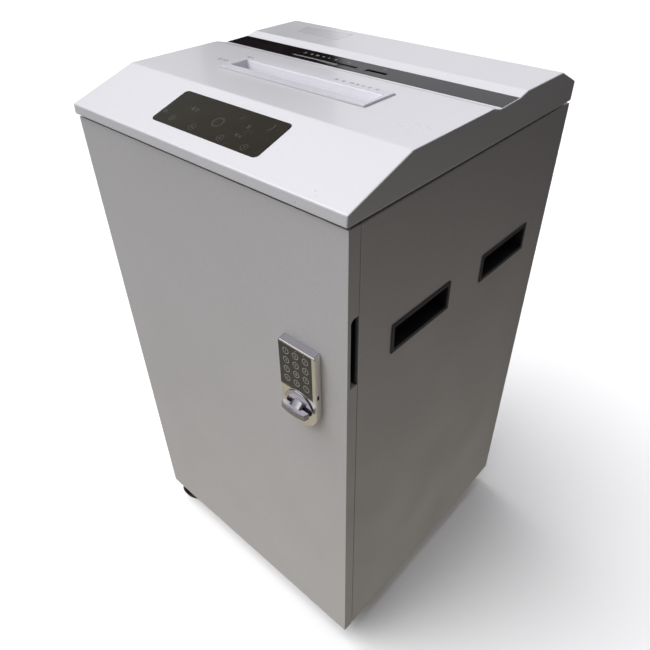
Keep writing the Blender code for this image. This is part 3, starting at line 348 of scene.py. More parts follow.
def combined(shape, tools, operation="DIFFERENCE"):
    """Boolean of one bmesh with several."""
    host = bpy.data.objects.new("host", to_mesh(shape))
    bpy.context.scene.collection.objects.link(host)
    others = []
    for tool in tools:
        other = bpy.data.objects.new("tool", to_mesh(tool))
        bpy.context.scene.collection.objects.link(other)
        modifier = host.modifiers.new("boolean", "BOOLEAN")
        modifier.operation = operation
        modifier.solver = "EXACT"
        modifier.object = other
        others.append(other)
    graph = bpy.context.evaluated_depsgraph_get()
    mesh = bpy.data.meshes.new_from_object(host.evaluated_get(graph))
    for obj in [host] + others:
        bpy.data.objects.remove(obj, do_unlink=True)
    made = from_mesh(mesh)
    bmesh.ops.remove_doubles(made, verts=made.verts, dist=0.000002)
    bmesh.ops.dissolve_limit(made, angle_limit=math.radians(0.5), verts=made.verts, edges=made.edges)
    return made


def gathered(shapes):
    """Several closed shapes in one bmesh."""
    whole = bmesh.new()
    for shape in shapes:
        mesh = to_mesh(shape)
        whole.from_mesh(mesh)
        bpy.data.meshes.remove(mesh)
    return whole


def add(name, shape, body, slot, material=None, stands_for=(), moved=True, angle=40.0, even=True):
    """Make a piece from a bmesh, give it a finish and set it on its body."""
    if moved:
        bmesh.ops.translate(shape, vec=ORIGIN, verts=shape.verts)
    mesh = to_mesh(shape, name)
    mesh.shade_smooth()
    mesh.set_sharp_from_angle(angle=math.radians(angle))
    mesh.materials.append(material or LOOKS[slot])
    piece = bpy.data.objects.new(name, mesh)
    bpy.context.scene.collection.objects.link(piece)
    if even:
        normals = piece.modifiers.new("even_normals", "WEIGHTED_NORMAL")
        normals.keep_sharp = True
    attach(piece, body)
    if stands_for:
        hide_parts(*stands_for)
    return piece


def node_shape(node):
    """A CAD node's mesh, welded and with its flat faces whole again."""
    shape = from_mesh(NODES[node].data)
    bmesh.ops.remove_doubles(shape, verts=shape.verts, dist=0.000005)
    bmesh.ops.dissolve_limit(shape, angle_limit=math.radians(0.5), verts=shape.verts, edges=shape.edges)
    return shape


def on_box_edge(node):
    """Accepts the edges that lie along an edge of the node's own box."""
    low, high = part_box(node)

    def accepts(edge):
        sides = 0
        for axis in range(3):
            for limit in (low[axis], high[axis]):
                if all(abs(vertex.co[axis] - limit) < 0.00002 for vertex in edge.verts):
                    sides += 1
        return sides >= 2
    return accepts


def refined(node, fold=0.0, small=0.0004, segments=2, angle=40.0, material=None):
    """The node's own shape with its outer folds and its small edges rounded."""
    shape = node_shape(node)
    if fold:
        round_off(shape, fold, 4, 25.0, on_box_edge(node))
    if small:
        round_off(shape, small, segments, 50.0, lambda edge: edge.calc_length() > 3 * small)
    return add(node + "_shell", shape, NODE_BODY[node], NODE_SLOT[node], material, (node,), False, angle)


def painted(node):
    """The node as it came, with its finish put on."""
    NODES[node].material_slots[0].material = LOOKS[NODE_SLOT[node]]


# ---------------------------------------------------------------- printed marks
class Sheet:
    """A flat place for printed marks: an origin, and the directions of its u, v and outward normal."""

    def __init__(self, origin, u, v, lift=0.0):
        self.u = Vector(u).normalized()
        self.v = Vector(v).normalized()
        self.normal = self.u.cross(self.v).normalized()
        self.origin = Vector(origin) + self.normal * lift

    def solid(self, loop, height=INK):
        """A thin closed plate on the sheet, sunk a little into it."""
        shape = prism(loop, "Z", (-INK, height))
        turn = Matrix((self.u, self.v, self.normal)).transposed().to_4x4()
        bmesh.ops.transform(shape, matrix=Matrix.Translation(self.origin) @ turn, verts=shape.verts)
        return shape


def ribbon(points, width, closed=False):
    """Outlines of the pieces, mitred where they meet, that together draw a line through the points."""
    count = len(points)
    ends_meet = math.dist(points[0], points[-1]) < 1e-9
    closed = closed or ends_meet
    if ends_meet:
        points = points[:-1]
        count -= 1
    places = [Vector(point) for point in points]
    sides = []
    for i, place in enumerate(places):
        before = places[i - 1] if closed or i > 0 else None
        after = places[(i + 1) % count] if closed or i < count - 1 else None
        ways = [(after - place).normalized()] if after is not None else []
        ways += [(place - before).normalized()] if before is not None else []
        way = sum(ways, Vector((0.0, 0.0))).normalized()
        across = Vector((-way.y, way.x))
        reach = width / 2 / max(0.5, across.dot(Vector((-ways[0].y, ways[0].x))))
        sides.append((place + across * reach, place - across * reach))
    pairs = list(zip(sides, sides[1:] + sides[:1] if closed else sides[1:]))
    return [[tuple(start[0]), tuple(end[0]), tuple(end[1]), tuple(start[1])] for start, end in pairs]


def ring(centre, radius, width, steps=32):
    return ribbon(circle(centre, radius, steps), width, True)


# Each glyph is a list of lines through points of a unit square. A line that ends where it starts is closed.
GLYPHS = {
    "page": [[(0.15, 0.0), (0.85, 0.0), (0.85, 0.7), (0.6, 1.0), (0.15, 1.0), (0.15, 0.0)],
             [(0.3, 0.3), (0.7, 0.3)], [(0.3, 0.55), (0.7, 0.55)]],
    "strips": [[(0.1, 0.6), (0.9, 0.6)], [(0.2, 0.5), (0.2, 0.0)], [(0.4, 0.5), (0.4, 0.0)],
               [(0.6, 0.5), (0.6, 0.0)], [(0.8, 0.5), (0.8, 0.0)], [(0.3, 1.0), (0.7, 1.0)]],
    "bin": [[(0.2, 0.75), (0.3, 0.0), (0.7, 0.0), (0.8, 0.75), (0.2, 0.75)], [(0.1, 0.9), (0.9, 0.9)]],
    "door": [[(0.2, 0.0), (0.2, 1.0), (0.8, 0.85), (0.8, 0.1), (0.2, 0.0)], [(0.65, 0.45), (0.65, 0.55)]],
    "cross": [[(0.1, 0.1), (0.9, 0.9)], [(0.1, 0.9), (0.9, 0.1)]],
    "clip": [[(0.1, 0.5), (0.1, 0.8), (0.9, 0.8), (0.9, 0.2), (0.3, 0.2), (0.3, 0.55), (0.7, 0.55)]],
    "arrow": [[(0.5, 0.0), (0.5, 1.0)], [(0.2, 0.65), (0.5, 1.0), (0.8, 0.65)]],
    "wave": [[(0.0, 0.3), (0.25, 0.7), (0.5, 0.3), (0.75, 0.7), (1.0, 0.3)]],
    "card": [[(0.0, 0.15), (1.0, 0.15), (1.0, 0.85), (0.0, 0.85), (0.0, 0.15)], [(0.0, 0.6), (1.0, 0.6)]],
    "bar": [[(0.1, 0.0), (0.9, 1.0)]],
}


def glyph(kind, centre, size, width):
    """The outlines of one glyph, placed and scaled."""
    loops = []
    for line in GLYPHS[kind]:
        placed = [(centre[0] + (u - 0.5) * size, centre[1] + (v - 0.5) * size) for u, v in line]
        loops += ribbon(placed, width)
    return loops


def printed(name, sheet, loops, body, slot, material):
    plates = [sheet.solid(loop, INK + 0.000002 * (number % 5)) for number, loop in enumerate(loops)]
    return add(name, gathered(plates), body, slot, material, even=False)


def digit(text, size):
    """A printed digit as a closed bmesh about its own middle, in the x-y plane."""
    curve = bpy.data.curves.new("digit", "FONT")
    curve.body = text
    curve.size = size
    curve.align_x = "CENTER"
    curve.align_y = "CENTER"
    curve.extrude = INK
    curve.offset = 0.0001
    curve.resolution_u = 3
    source = bpy.data.objects.new("digit", curve)
    bpy.context.scene.collection.objects.link(source)
    graph = bpy.context.evaluated_depsgraph_get()
    shape = from_mesh(bpy.data.meshes.new_from_object(source.evaluated_get(graph)))
    bpy.data.objects.remove(source, do_unlink=True)
    bmesh.ops.remove_doubles(shape, verts=shape.verts, dist=0.000001)
    return shape


# ---------------------------------------------------------------- screws
def screw_head(radius=0.0028, height=0.0014):
    """A pan head with a cross recess, about X, seated at x = 0."""
    profile = [(-0.0004, 0.0), (-0.0004, radius), (0.0004, radius), (height * 0.8, radius * 0.8),
               (height, radius * 0.45), (height, 0.0)]
    head = lathe(profile, 24)
    arm = (-radius * 0.62, radius * 0.62)
    slit = (-radius * 0.11, radius * 0.11)
    depth = (height * 0.45, height * 2)
    cross = [prism(rectangle(arm, slit), "X", depth), prism(rectangle(slit, arm), "X", depth)]
    return combined(head, cross)


def screws(name, places, direction, body, radius=0.0028, slot="steel"):
    """Screw heads at some places, all facing one way."""
    turn = Vector((1, 0, 0)).rotation_difference(Vector(direction)).to_matrix().to_4x4()
    pattern = to_mesh(screw_head(radius))
    shapes = []
    for number, place in enumerate(places):
        shape = from_mesh(pattern)
        spin = Matrix.Rotation(math.radians(37 * number), 4, "X")
        bmesh.ops.transform(shape, matrix=Matrix.Translation(place) @ turn @ spin, verts=shape.verts)
        shapes.append(shape)
    return add(name, gathered(shapes), body, slot, SCREW_ZINC)


# ---------------------------------------------------------------- cabinet and door
def cabinet():
    """Folded panels, grips, hinges, the paint chips on the door and the screwed rear panel."""
    refined("door_panel", fold=0.0016, small=0.0)
    for side in ("left", "right"):
        refined(side + "_side_panel", fold=0.0012, small=0.0)
        for end in ("front", "rear"):
            refined(f"side_grip_{side}_{end}", fold=0.0005, small=0.0005)
    refined("cabinet_floor", fold=0.0006, small=0.0)
    refined("mechanism_deck", fold=0.0006, small=0.0)
    refined("neck_frame", fold=0.0004, small=0.0)
    refined("door_liner", fold=0.0004, small=0.0)
    refined("door_grip_pocket", small=0.0005)
    across = (POCKET[0].x + 0.002, DOOR[1].x - 0.0010)
    inward = (POCKET[0].y + 0.0020, DOOR[1].y - 0.0014)
    ledge = prism(rounded(across, inward, 0.0008, 3), "Z", (POCKET[0].z + 0.0019, POCKET[0].z + 0.0024))
    # the ledge takes the lighter head silver in place of the door paint: painted light on the shaded pocket floor
    add("door_grip_ledge", round_off(ledge, 0.00015, 2), "door", "cabinet_paint", LOOKS["head_silver"])
    for end in ("top", "bottom"):
        refined("door_hinge_" + end, small=0.0003)

    door_sheet = Sheet((0, DOOR[0].y, 0), (1, 0, 0), (0, 0, 1))
    chips = []
    for x, z, size in ((-0.2150, 0.0410, 0.0009), (-0.0515, 0.0105, 0.0007)):
        chips.append([(x + size * r * math.cos(a), z + size * r * math.sin(a)) for a, r in
                      ((0.2, 1.0), (1.1, 0.7), (2.0, 1.1), (3.2, 0.8), (4.1, 1.2), (5.3, 0.7))])
    printed("door_paint_chips", door_sheet, chips, "door", "cabinet_paint", CHIP)

    rear_x = REAR[1].x - 0.007
    rows = (0.012, 0.200, 0.400, 0.600, REAR[1].z - 0.012)
    places = [(side * rear_x, REAR[1].y, z) for side in (-1, 1) for z in rows]
    places += [(x, REAR[1].y, z) for x in (-0.075, 0.075) for z in (rows[0], rows[-1])]
    sink = 0.0015                # the heads lie in dimples, so that none passes the panel's face
    panel = node_shape("rear_panel")
    bmesh.ops.translate(panel, vec=-ORIGIN, verts=panel.verts)
    dimples = [prism(circle((x, z), 0.0034, 24), "Y", (y - sink, y + 0.01)) for x, y, z in places]
    add("rear_panel_shell", combined(panel, dimples), "root", "cabinet_paint",
        stands_for=("rear_panel",), angle=30)
    screws("rear_screws", [(x, y - sink, z) for x, y, z in places], (0, 1, 0), "root")


# ---------------------------------------------------------------- head
def feed_bezel():
    """A stepped frame round the paper opening, with rounded lips."""
    low, high = BEZEL
    top = high.z - 2 * INK
    ledge = top - 0.0009
    step = 0.0012
    past_both = (low.z - 0.01, high.z + 0.01)
    frame_plate = round_off(prism(rounded((low.x, high.x), (low.y, high.y), 0.0012, 4), "Z",
                                  (DECK_TOP + 0.0003, ledge)), 0.0003, 2, 50)
    upper = prism(rounded((low.x + step, high.x - step), (low.y + step, high.y - step), 0.0010, 4), "Z",
                  (ledge - 0.0005, top))
    walls = prism(rounded((-FEED_X - 0.0022, FEED_X + 0.0022), (FEED_Y[0] - 0.0022, FEED_Y[1] + 0.0022),
                          0.0010, 3), "Z", (low.z, ledge))
    throat = prism(rounded((-FEED_X, FEED_X), FEED_Y, 0.0012, 3), "Z", past_both)
    sleeve = combined(walls, [throat.copy()])
    round_off(sleeve, 0.0004, 2, 50, lambda e: all(v.co.z > ledge - NEAR for v in e.verts))
    # the inner walls take the brightened copy: painted light inside the opening
    add("feed_bezel_sleeve", sleeve, "root", "head_silver", LIT_SLEEVE_LOOK)
    hole = prism(rounded((-FEED_X - 0.0007, FEED_X + 0.0007), (FEED_Y[0] - 0.0007, FEED_Y[1] + 0.0007),
                         0.0012, 3), "Z", past_both)
    throat.free()
    whole = combined(combined(frame_plate, [upper], "UNION"), [hole])
    round_off(whole, 0.00045, 3, 50, lambda e: all(v.co.z > top - NEAR for v in e.verts))
    add("feed_bezel_frame", whole, "root", "head_silver", BEZEL_LOOK, ("feed_bezel",))


def media_strip():
    """The black strip with its disc slot, card slot and their lead-in ramps."""
    low, high = STRIP
    front_top = high.z - 0.0009
    loop = [(low.y, low.z), (high.y, low.z), (high.y, high.z), (low.y, front_top)]
    body = round_off(prism(loop, "X", (low.x, high.x)), 0.0003, 2, 30)
    deep = low.z - 0.005
    clear = high.z + 0.01
    floor = low.z + 0.0004

    def top(y):
        return front_top + (high.z - front_top) * (y - low.y) / (high.y - low.y)

    disc = prism(rounded(DISC_SLOT[0], DISC_SLOT[1], 0.0012, 3), "Z", (deep, clear))
    card_front, card_rear = CARD_SLOT[1]
    card = prism(rounded(CARD_SLOT[0], (card_rear - 0.0022, card_rear), 0.0003, 2), "Z", (deep, clear))

    def ramp(front, foot, across):
        """A cutter that slopes from the strip's top at front down to its floor at foot."""
        return prism([(front, top(front)), (front, clear), (foot, clear), (foot, floor)], "X", across)

    disc_ramp = ramp(DISC_SLOT[1][0] - 0.0085, DISC_SLOT[1][0] + 0.001, (DISC_SLOT[0][0], -0.0210))
    card_ramp = ramp(card_front, card_rear - 0.001, CARD_SLOT[0])
    body = combined(body, [disc, card, disc_ramp, card_ramp])
    add("media_strip_body", body, "root", "black_plastic", stands_for=("media_strip",), material=STRIP_LOOK)
    slope = Vector((0, high.y - low.y, high.z - front_top))
    sheet = Sheet((0, low.y, front_top), (1, 0, 0), slope)
    kinds = ("page", "strips", "card", "clip", "cross", "bin", "wave")
    across = (-0.0960, -0.0825, -0.0720, -0.0606, -0.0500, -0.0370, -0.0125)
    loops = []
    for kind, x in zip(kinds, across):
        loops += glyph(kind, (x, 0.0265), 0.0046, 0.0005)
    loops += glyph("arrow", (0.0460, 0.0312), 0.0048, 0.0006)
    printed("media_strip_marks", sheet, loops, "root", "black_plastic", INK_PALE)


def touch_panel():
    """A dark glass plate on the slope with faint marks printed on it."""
    up = (SLOPE_HEAD - SLOPE_FOOT).normalized()
    sheet = Sheet(SLOPE_FOOT, (1, 0, 0), up, GLASS_PROUD)
    half = (GLASS[1].x - GLASS[0].x) / 2
    plate = prism(rounded((-half, half), (0.0235, 0.0855), 0.0060, 8), "Z", (-0.0020, 0.0))
    round_off(plate, 0.00035, 3, 50)
    turn = Matrix((sheet.u, sheet.v, sheet.normal)).transposed().to_4x4()
    bmesh.ops.transform(plate, matrix=Matrix.Translation(sheet.origin) @ turn, verts=plate.verts)
    add("touch_panel_glass", plate, "root", "touch_glass", stands_for=("touch_panel",))

    thin = 0.0004
    dial_u, dial_v = 0.0012, 0.0530
    ticks = 24
    loops = ring((dial_u, dial_v), 0.0066, thin)
    for i in range(ticks):
        angle = 2 * math.pi * i / ticks
        tick = [(dial_u + r * math.cos(angle), dial_v + r * math.sin(angle)) for r in (0.0078, 0.0088)]
        loops += ribbon(tick, 0.0007)
    keys = ((0.0266, 0.0325, "strips"), (0.0673, 0.0319, "arrow"), (-0.0240, 0.0330, "wave"),
            (-0.0646, 0.0357, "door"))
    for x, v, kind in keys:
        loops += ring((x, v), 0.0046, thin) + glyph(kind, (x, v), 0.0040, thin)
    for x, v, kind in ((-0.0520, 0.0605, "page"), (-0.0445, 0.0600, "bin"), (0.0420, 0.0444, "clip"),
                       (0.0480, 0.0440, "cross"), (0.0450, 0.0613, "page"), (-0.0860, 0.0421, "card"),
                       (0.0249, 0.0706, "bar")):
        loops += glyph(kind, (x, v), 0.0052, thin)
    loops += ribbon(arc((0.0655, 0.0722), 0.0090, -50, 35, 10), 0.0006)
    printed("touch_panel_marks", sheet, loops, "root", "touch_glass", INK_OLIVE)


def head():
    """The cover with its frame, strip and panel, and the marks and blank label printed on it."""
    painted("head_cover")
    refined("head_base", fold=0.0003, small=0.0)
    feed_bezel()
    media_strip()
    touch_panel()
    flange = Sheet((0, 0, BEZEL[1].z - 2 * INK), (1, 0, 0), (0, 1, 0))
    loops = []
    for kind, x in zip(("page", "strips", "card", "clip", "cross", "bin", "door"),
                       (0.0370, 0.0490, 0.0620, 0.0710, 0.0800, 0.0900, 0.1020)):
        loops += glyph(kind, (x, 0.2164), 0.0048, 0.0008)
    for kind, x in (("page", -0.1255), ("strips", -0.1185)):
        loops += glyph(kind, (x, 0.2160), 0.0050, 0.0009)
    printed("feed_marks", flange, loops, "root", "head_silver", INK_GREY)
    deck = Sheet((0, 0, DECK_TOP), (1, 0, 0), (0, 1, 0))
    loops = []
    for kind, x in (("page", -0.1570), ("arrow", -0.1505), ("bin", -0.1440)):
        loops += glyph(kind, (x, 0.1890), 0.0062, 0.0008)
    printed("deck_marks", deck, loops, "root", "head_silver", INK_GREY)

    rear_deck = Sheet((0, 0, REAR_DECK_TOP), (1, 0, 0), (0, 1, 0))
    label = [(-0.1820, 0.3690), (-0.0970, 0.3670), (-0.0990, 0.4090), (-0.1910, 0.4010)]
    add("blank_label", rear_deck.solid(label, 0.00006), "root", "head_silver", FILM, even=False)
    border = Sheet((0, 0, REAR_DECK_TOP + 0.00006), (1, 0, 0), (0, 1, 0))
    printed("blank_label_border", border, ribbon(label, 0.0006, True), "root", "head_silver", INK_PALE)


# ---------------------------------------------------------------- lock
def lock():
    """Housing with a sloping shoulder, key pad with printed rings and digits, and the knob."""
    low, high = HOUSING
    centre_x = (low.x + high.x) / 2
    radius = (high.x - low.x) / 2
    corner = 0.0030
    loop = arc((centre_x, low.z + radius), radius, 180, 360, 40)
    loop += arc((high.x - corner, high.z - corner), corner, 0, 90, 6)
    loop += arc((low.x + corner, high.z - corner), corner, 90, 180, 6)
    housing = prism(loop, "Y", (low.y, high.y))
    round_off(housing, 0.0011, 4, 50, lambda e: all(v.co.y < low.y + NEAR for v in e.verts))
    depth = high.y - low.y
    for vertex in housing.verts:
        if vertex.co.z > high.z - 0.0065:
            forward = (high.y - vertex.co.y) / depth
            vertex.co.z -= 0.0026 * forward ** 1.6
    arch_radius = 0.0272
    arch = arc((KNOB_CENTRE.x, KNOB_CENTRE.z), arch_radius, 118, 62, 10)
    pad_loop = [(PAD[0].x, PAD[0].z), *arch, (PAD[1].x, PAD[0].z), (PAD[1].x, PAD[1].z), (PAD[0].x, PAD[1].z)]
    pad_loop = [(u, max(v, PAD[0].z)) for u, v in pad_loop]
    gap = 0.0003
    pad_middle = 0.57
    grown = [(u + (gap if u > centre_x else -gap), v + (gap if v > pad_middle else -gap))
             for u, v in pad_loop]
    seat = prism(grown, "Y", (low.y - 0.01, PAD[1].y + gap))
    bore = prism(circle((KNOB_CENTRE.x, KNOB_CENTRE.z), 0.0046, 32), "Y", (low.y - 0.01, high.y + 0.01))
    port = prism(rounded((-0.0040, -0.0008), (0.5360, 0.5430), 0.0008, 3), "X",
                 (high.x - 0.0030, high.x + 0.01))
    housing = combined(housing, [seat, bore, port])
    case = add("lock_housing_case", housing, "door", "lock_metal", stands_for=("lock_housing",))
    # the housing's upward faces take the darker lilac copy of its metal: painted shade and reflection
    case.data.materials.append(SHADED_LILAC_METAL)
    for face in case.data.polygons:
        face.material_index = 1 if face.normal.z > 0.80 else 0
    plug = prism(rounded((-0.0039, -0.0009), (0.5361, 0.5429), 0.0007, 3), "X",
                 (high.x - 0.0029, high.x - 0.0010))
    add("lock_port_plug", plug, "door", "black_plastic", BLACK_INSERT_AND_PAINTED_SHADOW)

    pad = prism(pad_loop, "Y", (PAD[0].y, PAD[1].y))
    round_off(pad, 0.0002, 2, 50, lambda e: all(v.co.y < PAD[0].y + NEAR for v in e.verts))
    add("lock_keypad_plate", pad, "door", "touch_glass", PAD_LOOK, ("lock_keypad",))
    sheet = Sheet((0, PAD[0].y, 0), (1, 0, 0), (0, 0, 1))
    columns = [PAD[0].x + (PAD[1].x - PAD[0].x) * share for share in (0.225, 0.52, 0.815)]
    first_row, row_pitch = 0.0105, 0.0145
    rows = [PAD[1].z - first_row - row_pitch * i for i in range(4)]
    rings = []
    digits = []
    keys = "123456789*0#"
    for number, key in enumerate(keys):
        x, z = columns[number % 3], rows[number // 3]
        rings += ring((x, z), 0.0045, 0.0010, 36)
        if key.isdigit():
            shape = digit(key, 0.0050)
            turn = Matrix.Translation((x, PAD[0].y - INK / 2, z)) @ Matrix.Rotation(math.radians(90), 4, "X")
            bmesh.ops.transform(shape, matrix=turn, verts=shape.verts)
            digits.append(shape)
        else:
            rings += glyph("cross" if key == "*" else "arrow", (x, z), 0.0030, 0.0005)
    for x, z in ((PAD[0].x + 0.0290, PAD[1].z - 0.0024), (PAD[0].x + 0.0420, PAD[1].z - 0.0026)):
        rings += [circle((x, z), 0.0007, 10)]
    for u0, u1 in ((0.0018, 0.0165), (0.0370, 0.0530)):
        rings += ribbon([(PAD[0].x + u0, PAD[0].z + 0.0013), (PAD[0].x + u1, PAD[0].z + 0.0013)], 0.0006)
    printed("lock_key_rings", sheet, rings, "door", "touch_glass", INK_KEY)
    add("lock_key_digits", gathered(digits), "door", "touch_glass", INK_KEY, even=False)
    knob()


def knob():
    """A half-round plate tinted lilac as a painted sky reflection, a painted shadow plate under it, and a bowed
    bar with a hump behind it.
    """
    low, high = KNOB
    x, z = KNOB_CENTRE.x, KNOB_CENTRE.z
    plate_front = high.y - 0.0015
    shadow_top = z + 0.0052
    # the plate takes a lilac copy of the lock metal: painted sky reflection
    plate = prism(arc((x, z), high.z - z, 12.0, 168.0, 48), "Y", (plate_front, high.y - 0.0002))
    round_off(plate, 0.0006, 3, 50, lambda e: all(v.co.y < plate_front + NEAR for v in e.verts))
    add("lock_knob_plate", plate, "lock_turn", "lock_metal", LILAC_REFLECTION_METAL, angle=35)
    shadow_half_width = 0.0202
    # a near-black plate under the half-round plate and behind the bar: painted shadow
    dark = prism(rounded((x - shadow_half_width, x + shadow_half_width), (z - 0.0040, shadow_top + 0.0001), 0.0006, 3), "Y",
                 (plate_front + 0.0002, high.y - 0.0003))
    add("lock_knob_painted_shadow", dark, "lock_turn", "black_plastic", BLACK_INSERT_AND_PAINTED_SHADOW)

    bulge = 0.0023
    bar_rear = low.y + 0.0093
    half_length = 0.0195
    bow = (half_length ** 2 + bulge ** 2) / (2 * bulge)
    half_angle = math.degrees(math.asin(half_length / bow))
    loop = arc((x, low.y + bow), bow, 270 - half_angle, 270 + half_angle, 24)
    loop += [(x + half_length + 0.0020, bar_rear), (x - half_length - 0.0020, bar_rear)]
    bar = round_off(prism(loop, "Z", (z - 0.0047, z + 0.0047)), 0.0005, 3, 30)

    hump_rear = high.y - 0.0008
    hump_front = bar_rear - 0.0040
    shares = [math.cos(math.radians(180.0 * i / 32)) for i in range(33)]
    arch = [(0.0105 * share, 0.0100 * (1 - abs(share) ** 3) ** 0.5) for share in shares]
    hump = prism(arch, "Y", (hump_front, hump_rear))
    for vertex in hump.verts:
        at_rear = vertex.co.y > hump_rear - NEAR
        vertex.co.z = vertex.co.z * 1.25 if at_rear else min(vertex.co.z, 0.0045)
    round_off(hump, 0.0005, 2, 50, lambda e: all(v.co.y > hump_rear - NEAR for v in e.verts))
    bmesh.ops.translate(hump, vec=(x, 0.0, z), verts=hump.verts)
    core = prism(circle((x, z), 0.0048, 32), "Y", (bar_rear - 0.0005, high.y))
    # the knob body takes the darker lilac copy of the lock metal: painted shade and reflection
    add("lock_knob_body", combined(bar, [hump, core], "UNION"), "lock_turn", "lock_metal", SHADED_LILAC_METAL,
        ("lock_knob",), angle=35)


# ---------------------------------------------------------------- casters
def casters():
    """Turned wheels with rounded treads and dished hub faces, rounded hoods and plates."""
    for corner in ("front_left", "front_right", "rear_left", "rear_right"):
        name = "caster_" + corner
        joint = JOINTS[name + "_roll"]
        axis = Vector(joint["axis"])
        turn = Matrix.Translation(Vector(joint["pos_m"])) @ \
            Vector((1, 0, 0)).rotation_difference(axis).to_matrix().to_4x4()
        out, inside, radius = 0.0180, 0.0083, 0.0220
        tread = [(radius - 0.0022 + 0.0022 * math.sin(a), out - 0.0022 + 0.0022 * math.cos(a))
                 for a in (math.radians(15 * i) for i in range(7))]
        face = [(0.0, out - 0.0022), (0.0035, out - 0.0022), (0.0045, out - 0.0008), (0.0075, out - 0.0008),
                (0.0088, out - 0.0030), (0.0140, out - 0.0030), (0.0152, out - 0.0004), (0.0175, out)]
        half = [(x, r) for r, x in face + tread] + [(inside + 0.0012, radius), (inside, radius - 0.0012),
                                                    (inside, 0.0030)]
        profile = half + [(-x, r) for x, r in reversed(half)]
        wheels = lathe(profile, 72)
        bmesh.ops.transform(wheels, matrix=turn, verts=wheels.verts)
        add(name + "_tyres", wheels, name + "_wheels", "wheel_rubber", stands_for=(name + "_wheels",),
            moved=False, angle=32)
        refined(name + "_hood", small=0.0005)
        refined(name + "_plate", small=0.0003)
        low, high = local_box(name + "_plate")
        middle = (low + high) / 2
        reach = (high.x - low.x) / 2 - 0.0038
        seat = high.z - 0.0026
        places = [(middle.x + i * reach, middle.y + j * reach, seat) for i in (-1, 1) for j in (-1, 1)]
        screws(name + "_bolts", places, (0, 0, -1), "root", 0.0022)


# ---------------------------------------------------------------- cutting mechanism and bin
def toothed_disc(centre_y, centre_z, span, phase, teeth=9):
    """One cutting disc with hooked teeth, its tips on the disc's full radius."""
    tip, root = 0.0215, 0.0186
    loop = []
    for tooth in range(teeth):
        start = 2 * math.pi * (tooth + phase) / teeth
        for share, radius in ((0.0, root), (0.06, tip), (0.30, tip - 0.0004), (0.70, root + 0.0006)):
            angle = start + share * 2 * math.pi / teeth
            loop.append((centre_y + radius * math.cos(angle), centre_z + radius * math.sin(angle)))
    return round_off(prism(loop, "X", span), 0.00025, 1, 40)


def mechanism():
    """Cutter shafts, gears, plates, motor, chutes, bin and the parts of the rear inlet."""
    for row, offset in (("front", 0.0), ("rear", 0.0100)):
        node = "cutter_shaft_" + row
        low, high = local_box(node)
        y, z = (low.y + high.y) / 2, (low.z + high.z) / 2
        core, journal, inner = 0.0165, 0.0060, 0.1265
        profile = [(high.x, 0.0), (high.x, journal - 0.0006), (high.x - 0.0006, journal), (inner, journal),
                   (inner, core - 0.0006), (inner - 0.0006, core), (-inner + 0.0006, core),
                   (-inner, core - 0.0006), (-inner, journal), (low.x + 0.0006, journal),
                   (low.x, journal - 0.0006), (low.x, 0.0)]
        shaft = lathe(profile, 48)
        bmesh.ops.translate(shaft, vec=(0, y, z), verts=shaft.verts)
        first, pitch, width, disc_count = -0.1195, 0.0200, 0.0090, 12
        discs = []
        for number in range(disc_count):
            left = first + offset + pitch * number
            discs.append(toothed_disc(y, z, (left, left + width), 0.37 * number))
        add(node + "_blades", gathered([shaft] + discs), NODE_BODY[node], "steel", stands_for=(node,),
            angle=30)
        refined("sync_gear_" + row, small=0.0)
    for side in ("left", "right"):
        refined("cutter_plate_" + side, fold=0.0005, small=0.0)
    motor = local_box("motor_housing")
    y, z = (motor[0].y + motor[1].y) / 2, (motor[0].z + motor[1].z) / 2
    radius = (motor[1].z - motor[0].z) / 2
    low_x, high_x = motor[0].x, motor[1].x
    profile = [(0.1030, 0.0), (0.1030, 0.0060), (high_x - 0.0004, 0.0060), (high_x, 0.0064),
               (high_x, radius - 0.0012), (high_x - 0.0012, radius)]
    for x in (0.1080, 0.0200):
        profile += [(x, radius), (x - 0.0004, radius - 0.0008), (x - 0.0016, radius - 0.0008),
                    (x - 0.0020, radius)]
    profile += [(0.0030, radius), (0.0, radius - 0.0030), (0.0, 0.0135), (-0.0015, 0.0120),
                (low_x + 0.0020, 0.0100), (low_x, 0.0085), (low_x, 0.0)]
    case = lathe(profile, 72)
    bmesh.ops.translate(case, vec=(0, y, z), verts=case.verts)
    add("motor_housing_case", case, "root", "steel", MOTOR_CASE, ("motor_housing",), angle=30)
    for node in ("drive_gear", "motor_pinion", "lock_cam"):
        refined(node, small=0.0002)
    for node in ("paper_chute", "media_chute", "lock_strike", "control_board", "switch_frame", "power_inlet",
                 "power_switch"):
        refined(node, small=0.0003)
    refined("waste_bin", fold=0.0, small=0.0007)
    for node in ("tie_bar_front_upper", "tie_bar_front_lower", "tie_bar_rear_upper", "motor_shaft",
                 "lock_spindle"):
        refined(node, small=0.0, angle=35)

    pins = []
    centre = (INLET[0] + INLET[1]) / 2
    for x, height in ((-0.0065, 0.0), (0.0, 0.0028), (0.0065, 0.0)):
        across = (centre.x + x - 0.0010, centre.x + x + 0.0010)
        upright = (centre.z + height - 0.0022, centre.z + height + 0.0022)
        pin = prism(rounded(across, upright, 0.0003, 2), "Y", (INLET[0].y + 0.0058, INLET[1].y - 0.0030))
        pins.append(round_off(pin, 0.0002, 1, 50))
    add("inlet_pins", gathered(pins), "root", "steel")


